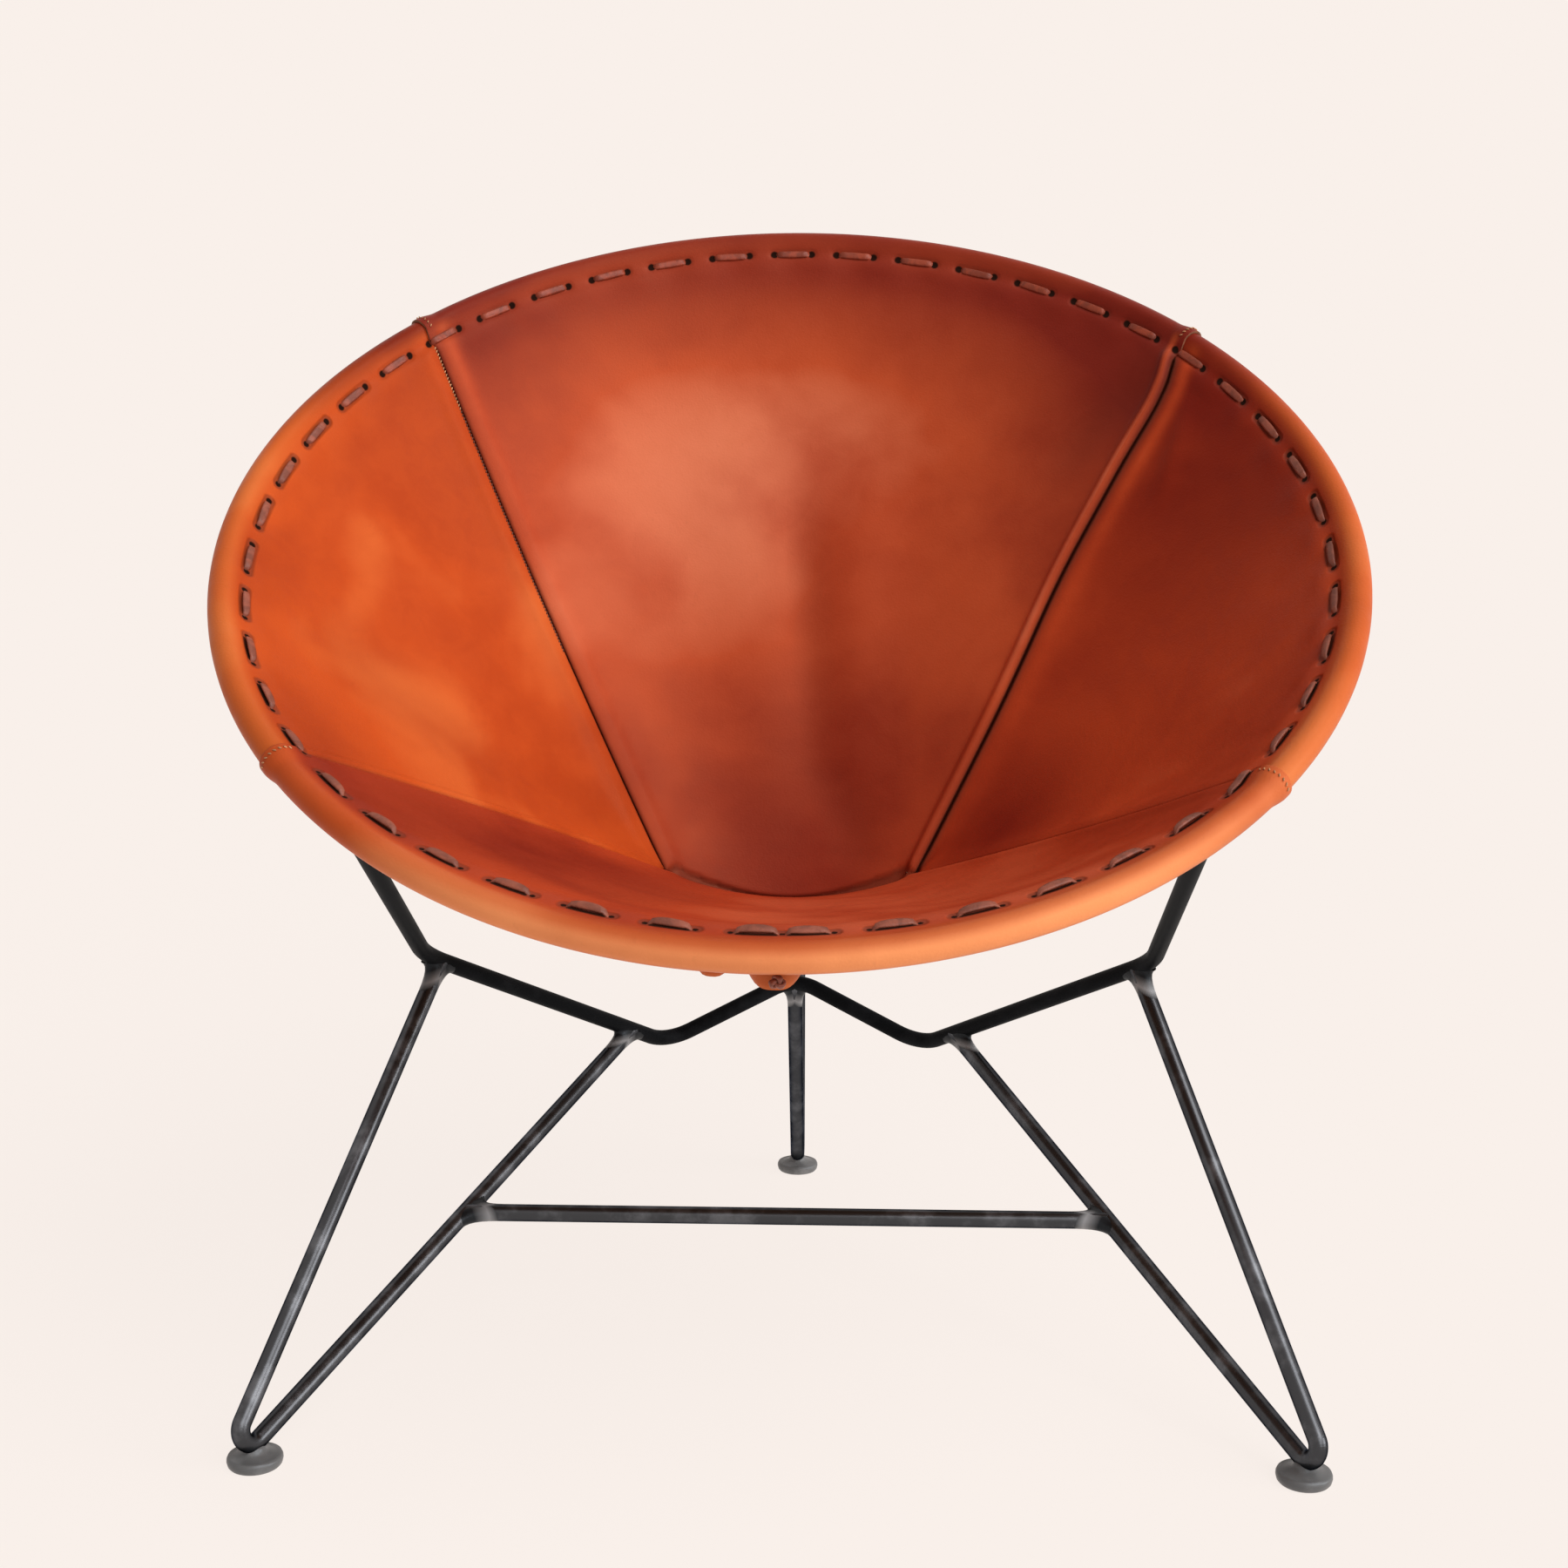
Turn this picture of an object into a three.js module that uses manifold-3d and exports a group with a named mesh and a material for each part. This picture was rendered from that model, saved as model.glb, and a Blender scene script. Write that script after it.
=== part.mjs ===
// Hoop lounge chair: a leather sling of four sewn panels, laced round a steel
// hoop that leans back on a welded cradle with three hairpin legs.
// Millimetres, Z up, +Y towards the back of the chair. The origin is on the
// floor, under the middle of the chair's outline.

import * as THREE from 'three';
import { mergeVertices } from 'three/addons/utils/BufferGeometryUtils.js';
import Module from 'manifold-3d';

const wasm = await Module();
wasm.setup();

// Round bar, the same for the hoop, the cradle and the legs
const barRadius = 6.35;
const weldGap = 0.3;
const weldSetback = 1;
const weldLeg = 5;
const weldTuckShare = 0.92;
const weldRootShare = 0.5;
const weldHollowShare = 0.4;
const weldLeanShare = 0.7;
const bendRadius = 38;
const hairpinRadius = 10;

// Hoop: centre line, height of its middle and how far it leans back
const hoopRadius = 400;
const hoopHeight = 608;
const hoopLeanDeg = 35;

// Cradle: one bar from the hoop down a post, back along a rail, over the
// raised crown under the pocket and up again; depths are behind the hoop's middle
const postAngleDeg = 41;
const kneeHalfSpan = 268.7;
const kneeDepth = -4.9;
const kneeHeight = 298;
const heelHalfSpan = 107.9;
const heelDepth = 212.5;
const heelHeight = 170.4;
const crownDepth = 240.5;
const crownHeight = 220.3;

// Legs: where each foot stands and where its bars are welded along the rail
const frontFootHalfSpan = 348;
const frontFootDepth = -216.5;
const rearFootDepth = 381.2;
const outerSeatShare = 0.06;
const innerSeatShare = 0.84;
const crossbarShare = 0.5;
const hairpinPasses = 6;

// Glides: turned buttons under the hairpins
const glideRadius = 18.6;
const glideHeight = 11;
const glideBaseRadius = 16.4;
const glideEdgeHeight = 4.6;
const glideSeat = 2;
const glideDomeShares = [0.97, 0.86, 0.66, 0.36];
const glideRiseShares = [0.3, 0.58, 0.82, 0.96];
const glideSides = 24;

// Leather sling: wall, clearance round the bar, and the pocket under the hoop.
// The crease is where the seat panel meets the back panel; its middle hangs
// lower than its ends. The leather is slack at the back and taut at the front.
const leather = 3.5;
const sleeveGap = 0.3;
const pocketDepth = 262;
const creaseOffset = -85.3;
const creaseHalfWidth = 96;
const creaseSag = 27;
const frontSag = -4;
const backSag = 12;
const hemLength = 25;
const seamGap = 0.3;
const gussetTip = 4;
const slingTurnDeg = -1.2;
const frontSeamDeg = 52.3;
const backSeamDeg = 130;
const postSlotGap = 0.4;
const postSlotLength = 60;

// Lace: a flat thong in a running stitch, its ends knotted under the front
const laceWidth = 3.6;
const laceThickness = 1.8;
const laceLift = 0.7;
const laceInset = 12.3;
const laceHoleGap = 0.3;
const laceStitches = 47;
const laceDashDeg = 4.6;
const laceStartDeg = 0.85;
const laceEndSpread = 1.4;
const laceTail = 4;
const knotRadius = 6;
const knotFlatShare = 0.75;
const holeOverrun = 2;

// Facets
const barSides = 16;
const ringSides = 12;
const bendSteps = 5;
const hairpinSteps = 8;
const hoopSteps = 64;
const wrapSteps = 8;
const pocketRows = 5;
const panelStepDeg = 6;
const wrapPasses = 8;
const knotSides = 10;
const knotRings = 7;
const mergeDistance = 0.00001;

const wrapRadius = barRadius + sleeveGap + leather;
const footHeight = glideHeight - glideSeat + weldGap + barRadius;

// Solids and sweeps

// Joins the shared corners of a geometry and turns it into a solid.
function solidOf(geometry) {
  const bare = geometry.index ? geometry.toNonIndexed() : geometry.clone();
  bare.deleteAttribute('normal');
  bare.deleteAttribute('uv');
  const merged = mergeVertices(bare, mergeDistance);
  const kept = [];
  const index = merged.index.array;
  for (let i = 0; i < index.length; i += 3) {
    const [a, b, c] = [index[i], index[i + 1], index[i + 2]];
    if (a !== b && b !== c && c !== a) {
      kept.push(a, b, c);
    }
  }
  const mesh = new wasm.Mesh({
    numProp: 3,
    vertProperties: new Float32Array(merged.attributes.position.array),
    triVerts: new Uint32Array(kept),
  });
  return new wasm.Manifold(mesh);
}

// Turns a solid back into a geometry.
function geometryOf(solid) {
  const mesh = solid.getMesh();
  const geometry = new THREE.BufferGeometry();
  geometry.setAttribute('position', new THREE.BufferAttribute(mesh.vertProperties, 3));
  geometry.setIndex(new THREE.BufferAttribute(mesh.triVerts, 1));
  geometry.computeVertexNormals();
  return geometry;
}

function subtractAll(solid, cutters) {
  return cutters.reduce((rest, cutter) => rest.subtract(cutter), solid);
}

// A path given by its stations, with the section's width held along `across`
// at each station where one is given.
class StationPath extends THREE.Curve {
  constructor(points, across = null) {
    super();
    this.points = points;
    this.across = across;
  }

  getPoint(share, target = new THREE.Vector3()) {
    const place = share * (this.points.length - 1);
    const first = Math.min(Math.floor(place), this.points.length - 2);
    return target.lerpVectors(this.points[first], this.points[first + 1], place - first);
  }

  getPointAt(share, target) {
    return this.getPoint(share, target);
  }

  getTangentAt(share, target = new THREE.Vector3()) {
    const station = Math.round(share * (this.points.length - 1));
    const before = this.points[Math.max(station - 1, 0)];
    const here = this.points[station];
    const after = this.points[Math.min(station + 1, this.points.length - 1)];
    const arriving = here.clone().sub(before).normalize();
    const leaving = after.clone().sub(here).normalize();
    return target.addVectors(arriving, leaving).normalize();
  }

  computeFrenetFrames(steps, closed) {
    if (!this.across) {
      return super.computeFrenetFrames(steps, closed);
    }
    const frames = { tangents: [], normals: [], binormals: [] };
    for (let i = 0; i <= steps; i += 1) {
      const tangent = this.getTangentAt(i / steps);
      const normal = this.across[i].clone();
      normal.addScaledVector(tangent, -normal.dot(tangent)).normalize();
      frames.tangents.push(tangent);
      frames.normals.push(normal);
      frames.binormals.push(tangent.clone().cross(normal));
    }
    return frames;
  }
}

function sweep(outline, path) {
  return new THREE.ExtrudeGeometry(new THREE.Shape(outline), {
    steps: path.points.length - 1,
    extrudePath: path,
    bevelEnabled: false,
  });
}

function circleOutline(radius, sides) {
  const outline = [];
  for (let i = 0; i < sides; i += 1) {
    const turn = 2 * Math.PI * i / sides;
    outline.push(new THREE.Vector2(radius * Math.cos(turn), radius * Math.sin(turn)));
  }
  return outline;
}

// Rounds the inner corners of a run of points, each with its own bend radius.
function bentStations(corners, radii, steps) {
  const stations = [corners[0]];
  for (let i = 1; i < corners.length - 1; i += 1) {
    const toBack = corners[i - 1].clone().sub(corners[i]).normalize();
    const toNext = corners[i + 1].clone().sub(corners[i]).normalize();
    const half = toBack.angleTo(toNext) / 2;
    const middle = toBack.clone().add(toNext).normalize();
    const centre = corners[i].clone().addScaledVector(middle, radii[i - 1] / Math.sin(half));
    const across = toNext.clone().sub(toBack).normalize();
    const sweepHalf = Math.PI / 2 - half;
    for (let step = 0; step <= steps[i - 1]; step += 1) {
      const turn = sweepHalf * (2 * step / steps[i - 1] - 1);
      const station = centre.clone();
      station.addScaledVector(middle, -radii[i - 1] * Math.cos(turn));
      station.addScaledVector(across, radii[i - 1] * Math.sin(turn));
      stations.push(station);
    }
  }
  stations.push(corners[corners.length - 1]);
  return stations;
}

function bar(stations, radius = barRadius) {
  return solidOf(sweep(circleOutline(radius, barSides), new StationPath(stations)));
}

// Pulls both ends of a welded bar back a little from the middle of what they
// meet, so that the cut end stays in one piece.
function setBack(stations) {
  const last = stations.length - 1;
  const pull = (end, next) => end.clone().add(next.clone().sub(end).setLength(weldSetback));
  const pulled = stations.slice();
  pulled[0] = pull(stations[0], stations[1]);
  pulled[last] = pull(stations[last], stations[last - 1]);
  return pulled;
}

// The hollow fillet of weld round the end of a bar that meets the side of
// another: a ring whose root lies in both bars, from `leg` up the one that
// ends to `leg` out along the one that runs on.
function weldFillet(seat, along, away) {
  const main = along.clone().normalize();
  const branch = away.clone().normalize();
  const side = branch.clone().cross(main).normalize();
  const front = side.clone().cross(branch);
  const square = branch.clone().addScaledVector(main, -branch.dot(main));
  const fromMain = (point) => point.clone().addScaledVector(main, -point.dot(main));
  const rings = [];
  for (let i = 0; i < barSides; i += 1) {
    const turn = 2 * Math.PI * i / barSides;
    const spoke = side.clone().multiplyScalar(Math.cos(turn));
    spoke.addScaledVector(front, Math.sin(turn));
    const edge = spoke.clone().multiplyScalar(barRadius);
    const flat = fromMain(edge);
    const middle = flat.dot(square);
    const reach = square.lengthSq() * (flat.lengthSq() - barRadius * barRadius);
    const rise = (Math.sqrt(Math.max(middle * middle - reach, 0)) - middle) / square.lengthSq();
    const meet = edge.clone().addScaledVector(branch, rise);
    const normal = fromMain(meet).normalize();
    const slide = spoke.clone().addScaledVector(branch, -weldLeanShare);
    slide.addScaledVector(normal, -slide.dot(normal)).setLength(weldLeg);
    const landed = meet.clone().add(slide);
    const foot = landed.clone().sub(fromMain(landed));
    foot.add(fromMain(landed).setLength(barRadius * weldTuckShare));
    const head = edge.clone().multiplyScalar(weldTuckShare).addScaledVector(branch, rise + weldLeg);
    const hollow = head.clone().add(foot).multiplyScalar(1 / 2).lerp(meet, weldHollowShare);
    const core = edge.clone().multiplyScalar(weldRootShare);
    const root = core.clone().addScaledVector(branch, rise * weldRootShare);
    const top = core.clone().addScaledVector(branch, rise + weldLeg);
    rings.push([top, head, hollow, foot, root].map((point) => point.add(seat)));
  }
  return solidOf(ringGeometry(rings));
}

// Joins closed outlines, the last to the first, into a closed ring.
function ringGeometry(rings) {
  const count = rings[0].length;
  const positions = rings.flat().flatMap((point) => [point.x, point.y, point.z]);
  const index = [];
  for (let i = 0; i < rings.length; i += 1) {
    for (let j = 0; j < count; j += 1) {
      const [a, b] = [i * count + j, i * count + (j + 1) % count];
      const [c, d] = [a, b].map((place) => (place + count) % (count * rings.length));
      index.push(a, d, b, a, c, d);
    }
  }
  const geometry = new THREE.BufferGeometry();
  geometry.setAttribute('position', new THREE.Float32BufferAttribute(positions, 3));
  geometry.setIndex(index);
  return geometry;
}

const mirrored = (point) => new THREE.Vector3(-point.x, point.y, point.z);

// Places on the hoop

const hoopLean = THREE.MathUtils.degToRad(hoopLeanDeg);
const hoopCentre = new THREE.Vector3(0, 0, hoopHeight);
const hoopBack = new THREE.Vector3(0, Math.cos(hoopLean), Math.sin(hoopLean));
const hoopUp = new THREE.Vector3(0, -Math.sin(hoopLean), Math.cos(hoopLean));

// A point from its plan place in the hoop's plane and its height above it.
function hoopPoint(plan, height) {
  const point = hoopCentre.clone();
  point.x += plan.x;
  point.addScaledVector(hoopBack, plan.y);
  point.addScaledVector(hoopUp, height);
  return point;
}

// Plan place on the hoop's centre line; angles run from the front to the right.
function rimPlan(angle) {
  return new THREE.Vector2(hoopRadius * Math.sin(angle), -hoopRadius * Math.cos(angle));
}

function inwardPlan(angle) {
  return new THREE.Vector2(-Math.sin(angle), Math.cos(angle));
}

function torus(radius) {
  const ring = new THREE.TorusGeometry(hoopRadius, radius, ringSides, hoopSteps);
  const place = new THREE.Matrix4().makeRotationX(hoopLean);
  place.setPosition(hoopCentre);
  return solidOf(ring.applyMatrix4(place));
}

// Steel frame

const hoopRing = torus(barRadius);
const hoopClearance = torus(barRadius + weldGap);

const postTop = hoopPoint(rimPlan(THREE.MathUtils.degToRad(postAngleDeg)), 0);
const knee = new THREE.Vector3(kneeHalfSpan, kneeDepth, kneeHeight);
const heel = new THREE.Vector3(heelHalfSpan, heelDepth, heelHeight);
const crown = new THREE.Vector3(0, crownDepth, crownHeight);

const cradleCorners = [
  mirrored(postTop), mirrored(knee), mirrored(heel), crown, heel, knee, postTop,
];
const cradleBends = cradleCorners.slice(2).map(() => bendRadius);
const cradleStations = bentStations(cradleCorners, cradleBends, cradleBends.map(() => bendSteps));
const cradleClearance = bar(cradleStations, barRadius + weldGap);
const cradleRod = bar(setBack(cradleStations)).subtract(hoopClearance);

// Corner of a hairpin whose lowest point stands over the foot.
function hairpinCorner(foot, seatA, seatB) {
  let corner = foot.clone();
  for (let pass = 0; pass < hairpinPasses; pass += 1) {
    const toA = seatA.clone().sub(corner).normalize();
    const toB = seatB.clone().sub(corner).normalize();
    const middle = toA.clone().add(toB).normalize();
    const side = toA.clone().cross(toB).normalize();
    const rise = new THREE.Vector3(0, 0, 1).addScaledVector(side, -side.z).normalize();
    corner = foot.clone().addScaledVector(rise, hairpinRadius);
    corner.addScaledVector(middle, -hairpinRadius / Math.sin(toA.angleTo(middle)));
  }
  return corner;
}

function hairpinStations(foot, seatA, seatB) {
  const corner = hairpinCorner(foot, seatA, seatB);
  return bentStations([seatA, corner, seatB], [hairpinRadius], [hairpinSteps]);
}

const frontFoot = new THREE.Vector3(frontFootHalfSpan, frontFootDepth, footHeight);
const rearFoot = new THREE.Vector3(0, rearFootDepth, footHeight);
const outerSeat = knee.clone().lerp(heel, outerSeatShare);
const innerSeat = knee.clone().lerp(heel, innerSeatShare);
const crownSeat = cradleStations[Math.floor(cradleStations.length / 2)].clone().setX(0);
const hoopSeat = hoopPoint(rimPlan(Math.PI), 0);

const rightStations = hairpinStations(frontFoot, outerSeat, innerSeat);
const leftStations = rightStations.map(mirrored);
const rearStations = hairpinStations(rearFoot, crownSeat, hoopSeat);

// A front leg: a hairpin with a weld where each of its bars meets the rail.
function frontLeg(stations) {
  const last = stations.length - 1;
  const rail = stations[last].clone().sub(stations[0]);
  return bar(setBack(stations))
    .add(weldFillet(stations[0], rail, stations[1].clone().sub(stations[0])))
    .add(weldFillet(stations[last], rail, stations[last - 1].clone().sub(stations[last])))
    .subtract(cradleClearance);
}

const rightLeg = frontLeg(rightStations);
const leftLeg = frontLeg(leftStations);
const crownLine = new THREE.Vector3(1, 0, 0);
const rearLeg = bar(setBack(rearStations))
  .add(weldFillet(crownSeat, crownLine, rearStations[1].clone().sub(crownSeat)))
  .subtract(cradleClearance)
  .subtract(hoopClearance);

const footEnd = rightStations[rightStations.length - 2];
const crossbarEnd = innerSeat.clone().lerp(footEnd, crossbarShare);
const innerBar = footEnd.clone().sub(innerSeat);
const crossbarLine = mirrored(crossbarEnd).sub(crossbarEnd);
const crossbarWelds = [
  weldFillet(crossbarEnd, innerBar, crossbarLine),
  weldFillet(mirrored(crossbarEnd), mirrored(innerBar), mirrored(crossbarLine)),
];
const crossbarBlank = crossbarWelds.reduce(
  (joined, weld) => joined.add(weld),
  bar(setBack([mirrored(crossbarEnd), crossbarEnd])),
);
const crossbar = subtractAll(crossbarBlank, [
  bar(rightStations, barRadius + weldGap),
  bar(leftStations, barRadius + weldGap),
]);

// Glide profile from the middle of its flat base, over its edge, up the dome
function glideProfile() {
  const profile = [
    new THREE.Vector2(0, 0),
    new THREE.Vector2(glideBaseRadius, 0),
    new THREE.Vector2(glideRadius, glideEdgeHeight / 2),
    new THREE.Vector2(glideRadius, glideEdgeHeight),
  ];
  glideDomeShares.forEach((share, i) => {
    const rise = (glideHeight - glideEdgeHeight) * glideRiseShares[i];
    profile.push(new THREE.Vector2(glideRadius * share, glideEdgeHeight + rise));
  });
  profile.push(new THREE.Vector2(0, glideHeight));
  return profile;
}

function glide(foot, stations) {
  const button = new THREE.LatheGeometry(glideProfile(), glideSides);
  button.rotateX(Math.PI / 2);
  button.translate(foot.x, foot.y, 0);
  return solidOf(button).subtract(bar(stations, barRadius + weldGap));
}

// Leather sling

const rightCorner = new THREE.Vector2(creaseHalfWidth, creaseOffset);
const leftCorner = new THREE.Vector2(-creaseHalfWidth, creaseOffset);
const slingTurn = THREE.MathUtils.degToRad(slingTurnDeg);
const frontSeam = THREE.MathUtils.degToRad(frontSeamDeg);
const backSeam = THREE.MathUtils.degToRad(backSeamDeg);
const fullTurn = 2 * Math.PI;

// Each panel runs between two seams and ends on a stretch of the crease
const panels = {
  seat: { from: -frontSeam, to: frontSeam, start: leftCorner, end: rightCorner, shift: -1 },
  right: { from: frontSeam, to: backSeam, start: rightCorner, end: rightCorner, shift: 0 },
  back: { from: backSeam, to: fullTurn - backSeam, start: rightCorner, end: leftCorner, shift: 1 },
  left: { from: -backSeam, to: -frontSeam, start: leftCorner, end: leftCorner, shift: 0 },
};

// The sling's section at one angle and one share of its panel: where it leaves
// the sleeve (`lift`), which way it runs, how much it sags and how far and how
// deep it goes to the crease.
function slingSection(panel, angle, share, crease) {
  const rim = rimPlan(angle);
  const inward = inwardPlan(angle);
  const run = crease.distanceTo(rim);
  const sag = THREE.MathUtils.lerp(frontSag, backSag, (1 - Math.cos(angle)) / 2);
  const depth = pocketDepth + Math.abs(panel.shift) * creaseSag * 4 * share * (1 - share);
  let slope = Math.PI / 4;
  for (let pass = 0; pass < wrapPasses; pass += 1) {
    const drop = depth + wrapRadius * Math.cos(slope) + 4 * sag;
    slope = Math.atan2(drop, run - wrapRadius * Math.sin(slope));
  }
  const lift = rim.clone().addScaledVector(inward, wrapRadius * Math.sin(slope));
  return { rim, inward, slope, lift, crease, sag, depth };
}

function panelSection(panel, share) {
  const halfGap = seamGap / 2 / hoopRadius;
  const angle = THREE.MathUtils.lerp(panel.from + halfGap, panel.to - halfGap, share) + slingTurn;
  const crease = panel.start.clone().lerp(panel.end, share);
  crease.x -= Math.sign(crease.x) * seamGap * Math.abs(2 * share - 1) * Math.abs(panel.shift);
  crease.y += panel.shift * seamGap / 2;
  return slingSection(panel, angle, share, crease);
}

// A place near the hoop: `along` the leather from where it leaves the sleeve
// and `above` its upper face.
function stripPoint(section, along, above) {
  const { slope, rim, inward } = section;
  const reach = wrapRadius + above;
  const step = reach * Math.sin(slope) + along * Math.cos(slope);
  const height = reach * Math.cos(slope) - along * Math.sin(slope);
  return hoopPoint(rim.clone().addScaledVector(inward, step), height);
}

// A place on the pocket: `share` of the way from the sleeve to the crease,
// `below` the upper face, square to it.
function pocketPoint(section, share, below) {
  const { sag, depth } = section;
  const plan = section.lift.clone().lerp(section.crease, share);
  const top = wrapRadius * Math.cos(section.slope);
  const height = THREE.MathUtils.lerp(top, -depth, share) - 4 * sag * share * (1 - share);
  const run = section.lift.distanceTo(section.crease);
  const grade = (top + depth + 4 * sag * (1 - 2 * share)) / run;
  return hoopPoint(plan, height - below * Math.hypot(1, grade));
}

// Closed outline of the panel at one place: the upper face down to the crease,
// the under face back to the hem, the hem and the sleeve round the bar.
function sectionOutline(section, lastShare) {
  const outline = [];
  const run = section.lift.distanceTo(section.crease);
  const hemShare = hemLength * Math.cos(section.slope) / run;
  for (let row = 0; row <= pocketRows; row += 1) {
    outline.push(pocketPoint(section, lastShare * row / pocketRows, 0));
  }
  for (let row = pocketRows; row > 0; row -= 1) {
    const share = THREE.MathUtils.lerp(hemShare, lastShare, row / pocketRows);
    outline.push(pocketPoint(section, share, leather));
  }
  outline.push(stripPoint(section, hemLength, -leather));
  outline.push(stripPoint(section, hemLength, -2 * leather));
  const neck = Math.acos((wrapRadius - 2 * leather) / wrapRadius);
  for (let step = 0; step < wrapSteps; step += 1) {
    const turn = section.slope + THREE.MathUtils.lerp(neck, fullTurn, step / wrapSteps);
    const plan = section.rim.clone().addScaledVector(section.inward, wrapRadius * Math.sin(turn));
    outline.push(hoopPoint(plan, wrapRadius * Math.cos(turn)));
  }
  return outline;
}

// Splits a panel's end face into triangles: rows down the pocket, then a fan
// over the hem and the sleeve.
function endFace(count) {
  const faces = [];
  const hem = 2 * pocketRows + 1;
  for (let row = 0; row < pocketRows; row += 1) {
    faces.push([row, row + 1, hem - row - 1], [row, hem - row - 1, hem - row]);
  }
  for (let i = hem; i < count - 1; i += 1) {
    faces.push([0, i, i + 1]);
  }
  return faces;
}

// Joins a run of closed outlines into a solid with a flat face at each end.
function loft(outlines) {
  const count = outlines[0].length;
  const positions = outlines.flat().flatMap((point) => [point.x, point.y, point.z]);
  const index = [];
  for (let i = 0; i < outlines.length - 1; i += 1) {
    for (let j = 0; j < count; j += 1) {
      const next = (j + 1) % count;
      const [a, b] = [i * count + j, i * count + next];
      index.push(a, b + count, b, a, a + count, b + count);
    }
  }
  const last = (outlines.length - 1) * count;
  endFace(count).forEach(([a, b, c]) => {
    index.push(a, b, c, last + a, last + c, last + b);
  });
  const geometry = new THREE.BufferGeometry();
  geometry.setAttribute('position', new THREE.Float32BufferAttribute(positions, 3));
  geometry.setIndex(index);
  return geometry;
}

function panelBlank(panel) {
  const spread = THREE.MathUtils.radToDeg(panel.to - panel.from);
  const steps = Math.ceil(spread / panelStepDeg);
  const chord = rimPlan(panel.from).distanceTo(rimPlan(panel.to));
  const lastShare = panel.shift === 0 ? 1 - gussetTip / chord : 1;
  const sections = [];
  for (let i = 0; i <= steps; i += 1) {
    sections.push(panelSection(panel, i / steps));
  }
  return loft(sections.map((section) => sectionOutline(section, lastShare)));
}

// Lace

// The sling's section under the lace at any angle round the hoop.
function sectionAt(angle) {
  const slingAngle = angle - slingTurn;
  const wrapped = slingAngle < -backSeam ? slingAngle + fullTurn : slingAngle;
  const turned = wrapped > fullTurn - backSeam ? wrapped - fullTurn : wrapped;
  const panel = Object.values(panels).find(({ from, to }) => turned >= from && turned <= to);
  const share = (turned - panel.from) / (panel.to - panel.from);
  return slingSection(panel, angle, share, panel.start.clone().lerp(panel.end, share));
}

const laceAbove = laceLift + laceThickness / 2;
const laceBelow = -2 * leather - laceAbove;
const laceRadius = hoopRadius - wrapRadius;
const laceStart = THREE.MathUtils.degToRad(laceStartDeg);
const laceDash = THREE.MathUtils.degToRad(laceDashDeg);
const lacePitch = (fullTurn - laceDash) / (laceStitches - 1);
const laceSpread = laceEndSpread / laceRadius;

// Angles where the lace passes through the leather, in pairs: up, then down.
const lacePasses = [];
for (let stitch = 0; stitch < laceStitches; stitch += 1) {
  const rise = laceStart + stitch * lacePitch;
  lacePasses.push(rise, rise + laceDash);
}
lacePasses[0] += laceSpread;
lacePasses[lacePasses.length - 1] -= laceSpread;

function laceStations() {
  const points = [];
  const across = [];
  const add = (angle, above) => {
    const section = sectionAt(angle);
    points.push(stripPoint(section, laceInset, above));
    const fore = stripPoint(section, laceInset + laceWidth, above);
    across.push(fore.sub(stripPoint(section, laceInset, above)).normalize());
  };
  add(lacePasses[0], laceBelow - laceTail);
  lacePasses.forEach((angle, i) => {
    const rising = i % 2 === 0;
    add(angle, rising ? laceBelow : laceAbove);
    add(angle, rising ? laceAbove : laceBelow);
  });
  add(lacePasses[lacePasses.length - 1], laceBelow - laceTail);
  return { points, across };
}

function laceGeometry() {
  const { points, across } = laceStations();
  const [wide, deep] = [laceWidth / 2, laceThickness / 2];
  const outline = [
    new THREE.Vector2(-wide, -deep),
    new THREE.Vector2(wide, -deep),
    new THREE.Vector2(wide, deep),
    new THREE.Vector2(-wide, deep),
  ];
  return sweep(outline, new StationPath(points, across));
}

// One slot through both layers of the hem for each pass of the lace.
function laceSlot(angle) {
  const section = sectionAt(angle);
  const slot = new THREE.BoxGeometry(
    laceWidth + 2 * laceHoleGap,
    laceThickness + 2 * laceHoleGap,
    2 * leather + 2 * holeOverrun,
  );
  const middle = stripPoint(section, laceInset, -leather);
  const across = stripPoint(section, laceInset + laceWidth, -leather).sub(middle).normalize();
  const above = stripPoint(section, laceInset, leather).sub(middle).normalize();
  const place = new THREE.Matrix4().makeBasis(across, above.clone().cross(across), above);
  place.setPosition(middle);
  return solidOf(slot.applyMatrix4(place));
}

// The knot that holds both ends of the lace against the hem.
function laceKnot() {
  const middle = laceStart;
  const section = sectionAt(middle);
  const knot = new THREE.SphereGeometry(knotRadius, knotSides, knotRings);
  const drop = laceBelow - laceTail - weldGap - knotRadius * knotFlatShare;
  const centre = stripPoint(section, laceInset, drop);
  const above = stripPoint(section, laceInset, drop + knotRadius).sub(centre).normalize();
  const across = stripPoint(section, laceInset + knotRadius, drop).sub(centre).normalize();
  const place = new THREE.Matrix4().makeBasis(above.clone().cross(across), above, across);
  place.scale(new THREE.Vector3(1, knotFlatShare, knotFlatShare));
  place.setPosition(centre);
  return solidOf(knot.applyMatrix4(place));
}

const sleeveBore = torus(barRadius + sleeveGap);
const slotEnd = (from, towards) => (
  from.clone().add(towards.clone().sub(from).setLength(postSlotLength))
);
const postSlots = [
  bar([postTop, slotEnd(postTop, knee)], barRadius + postSlotGap),
  bar([mirrored(postTop), mirrored(slotEnd(postTop, knee))], barRadius + postSlotGap),
  bar([hoopSeat, slotEnd(hoopSeat, rearStations[rearStations.length - 2])], barRadius + postSlotGap),
];
const laceSlots = lacePasses.map(laceSlot);

function panelSolid(panel) {
  return subtractAll(solidOf(panelBlank(panel)), [sleeveBore, ...postSlots, ...laceSlots]);
}

// Assembly

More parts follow.
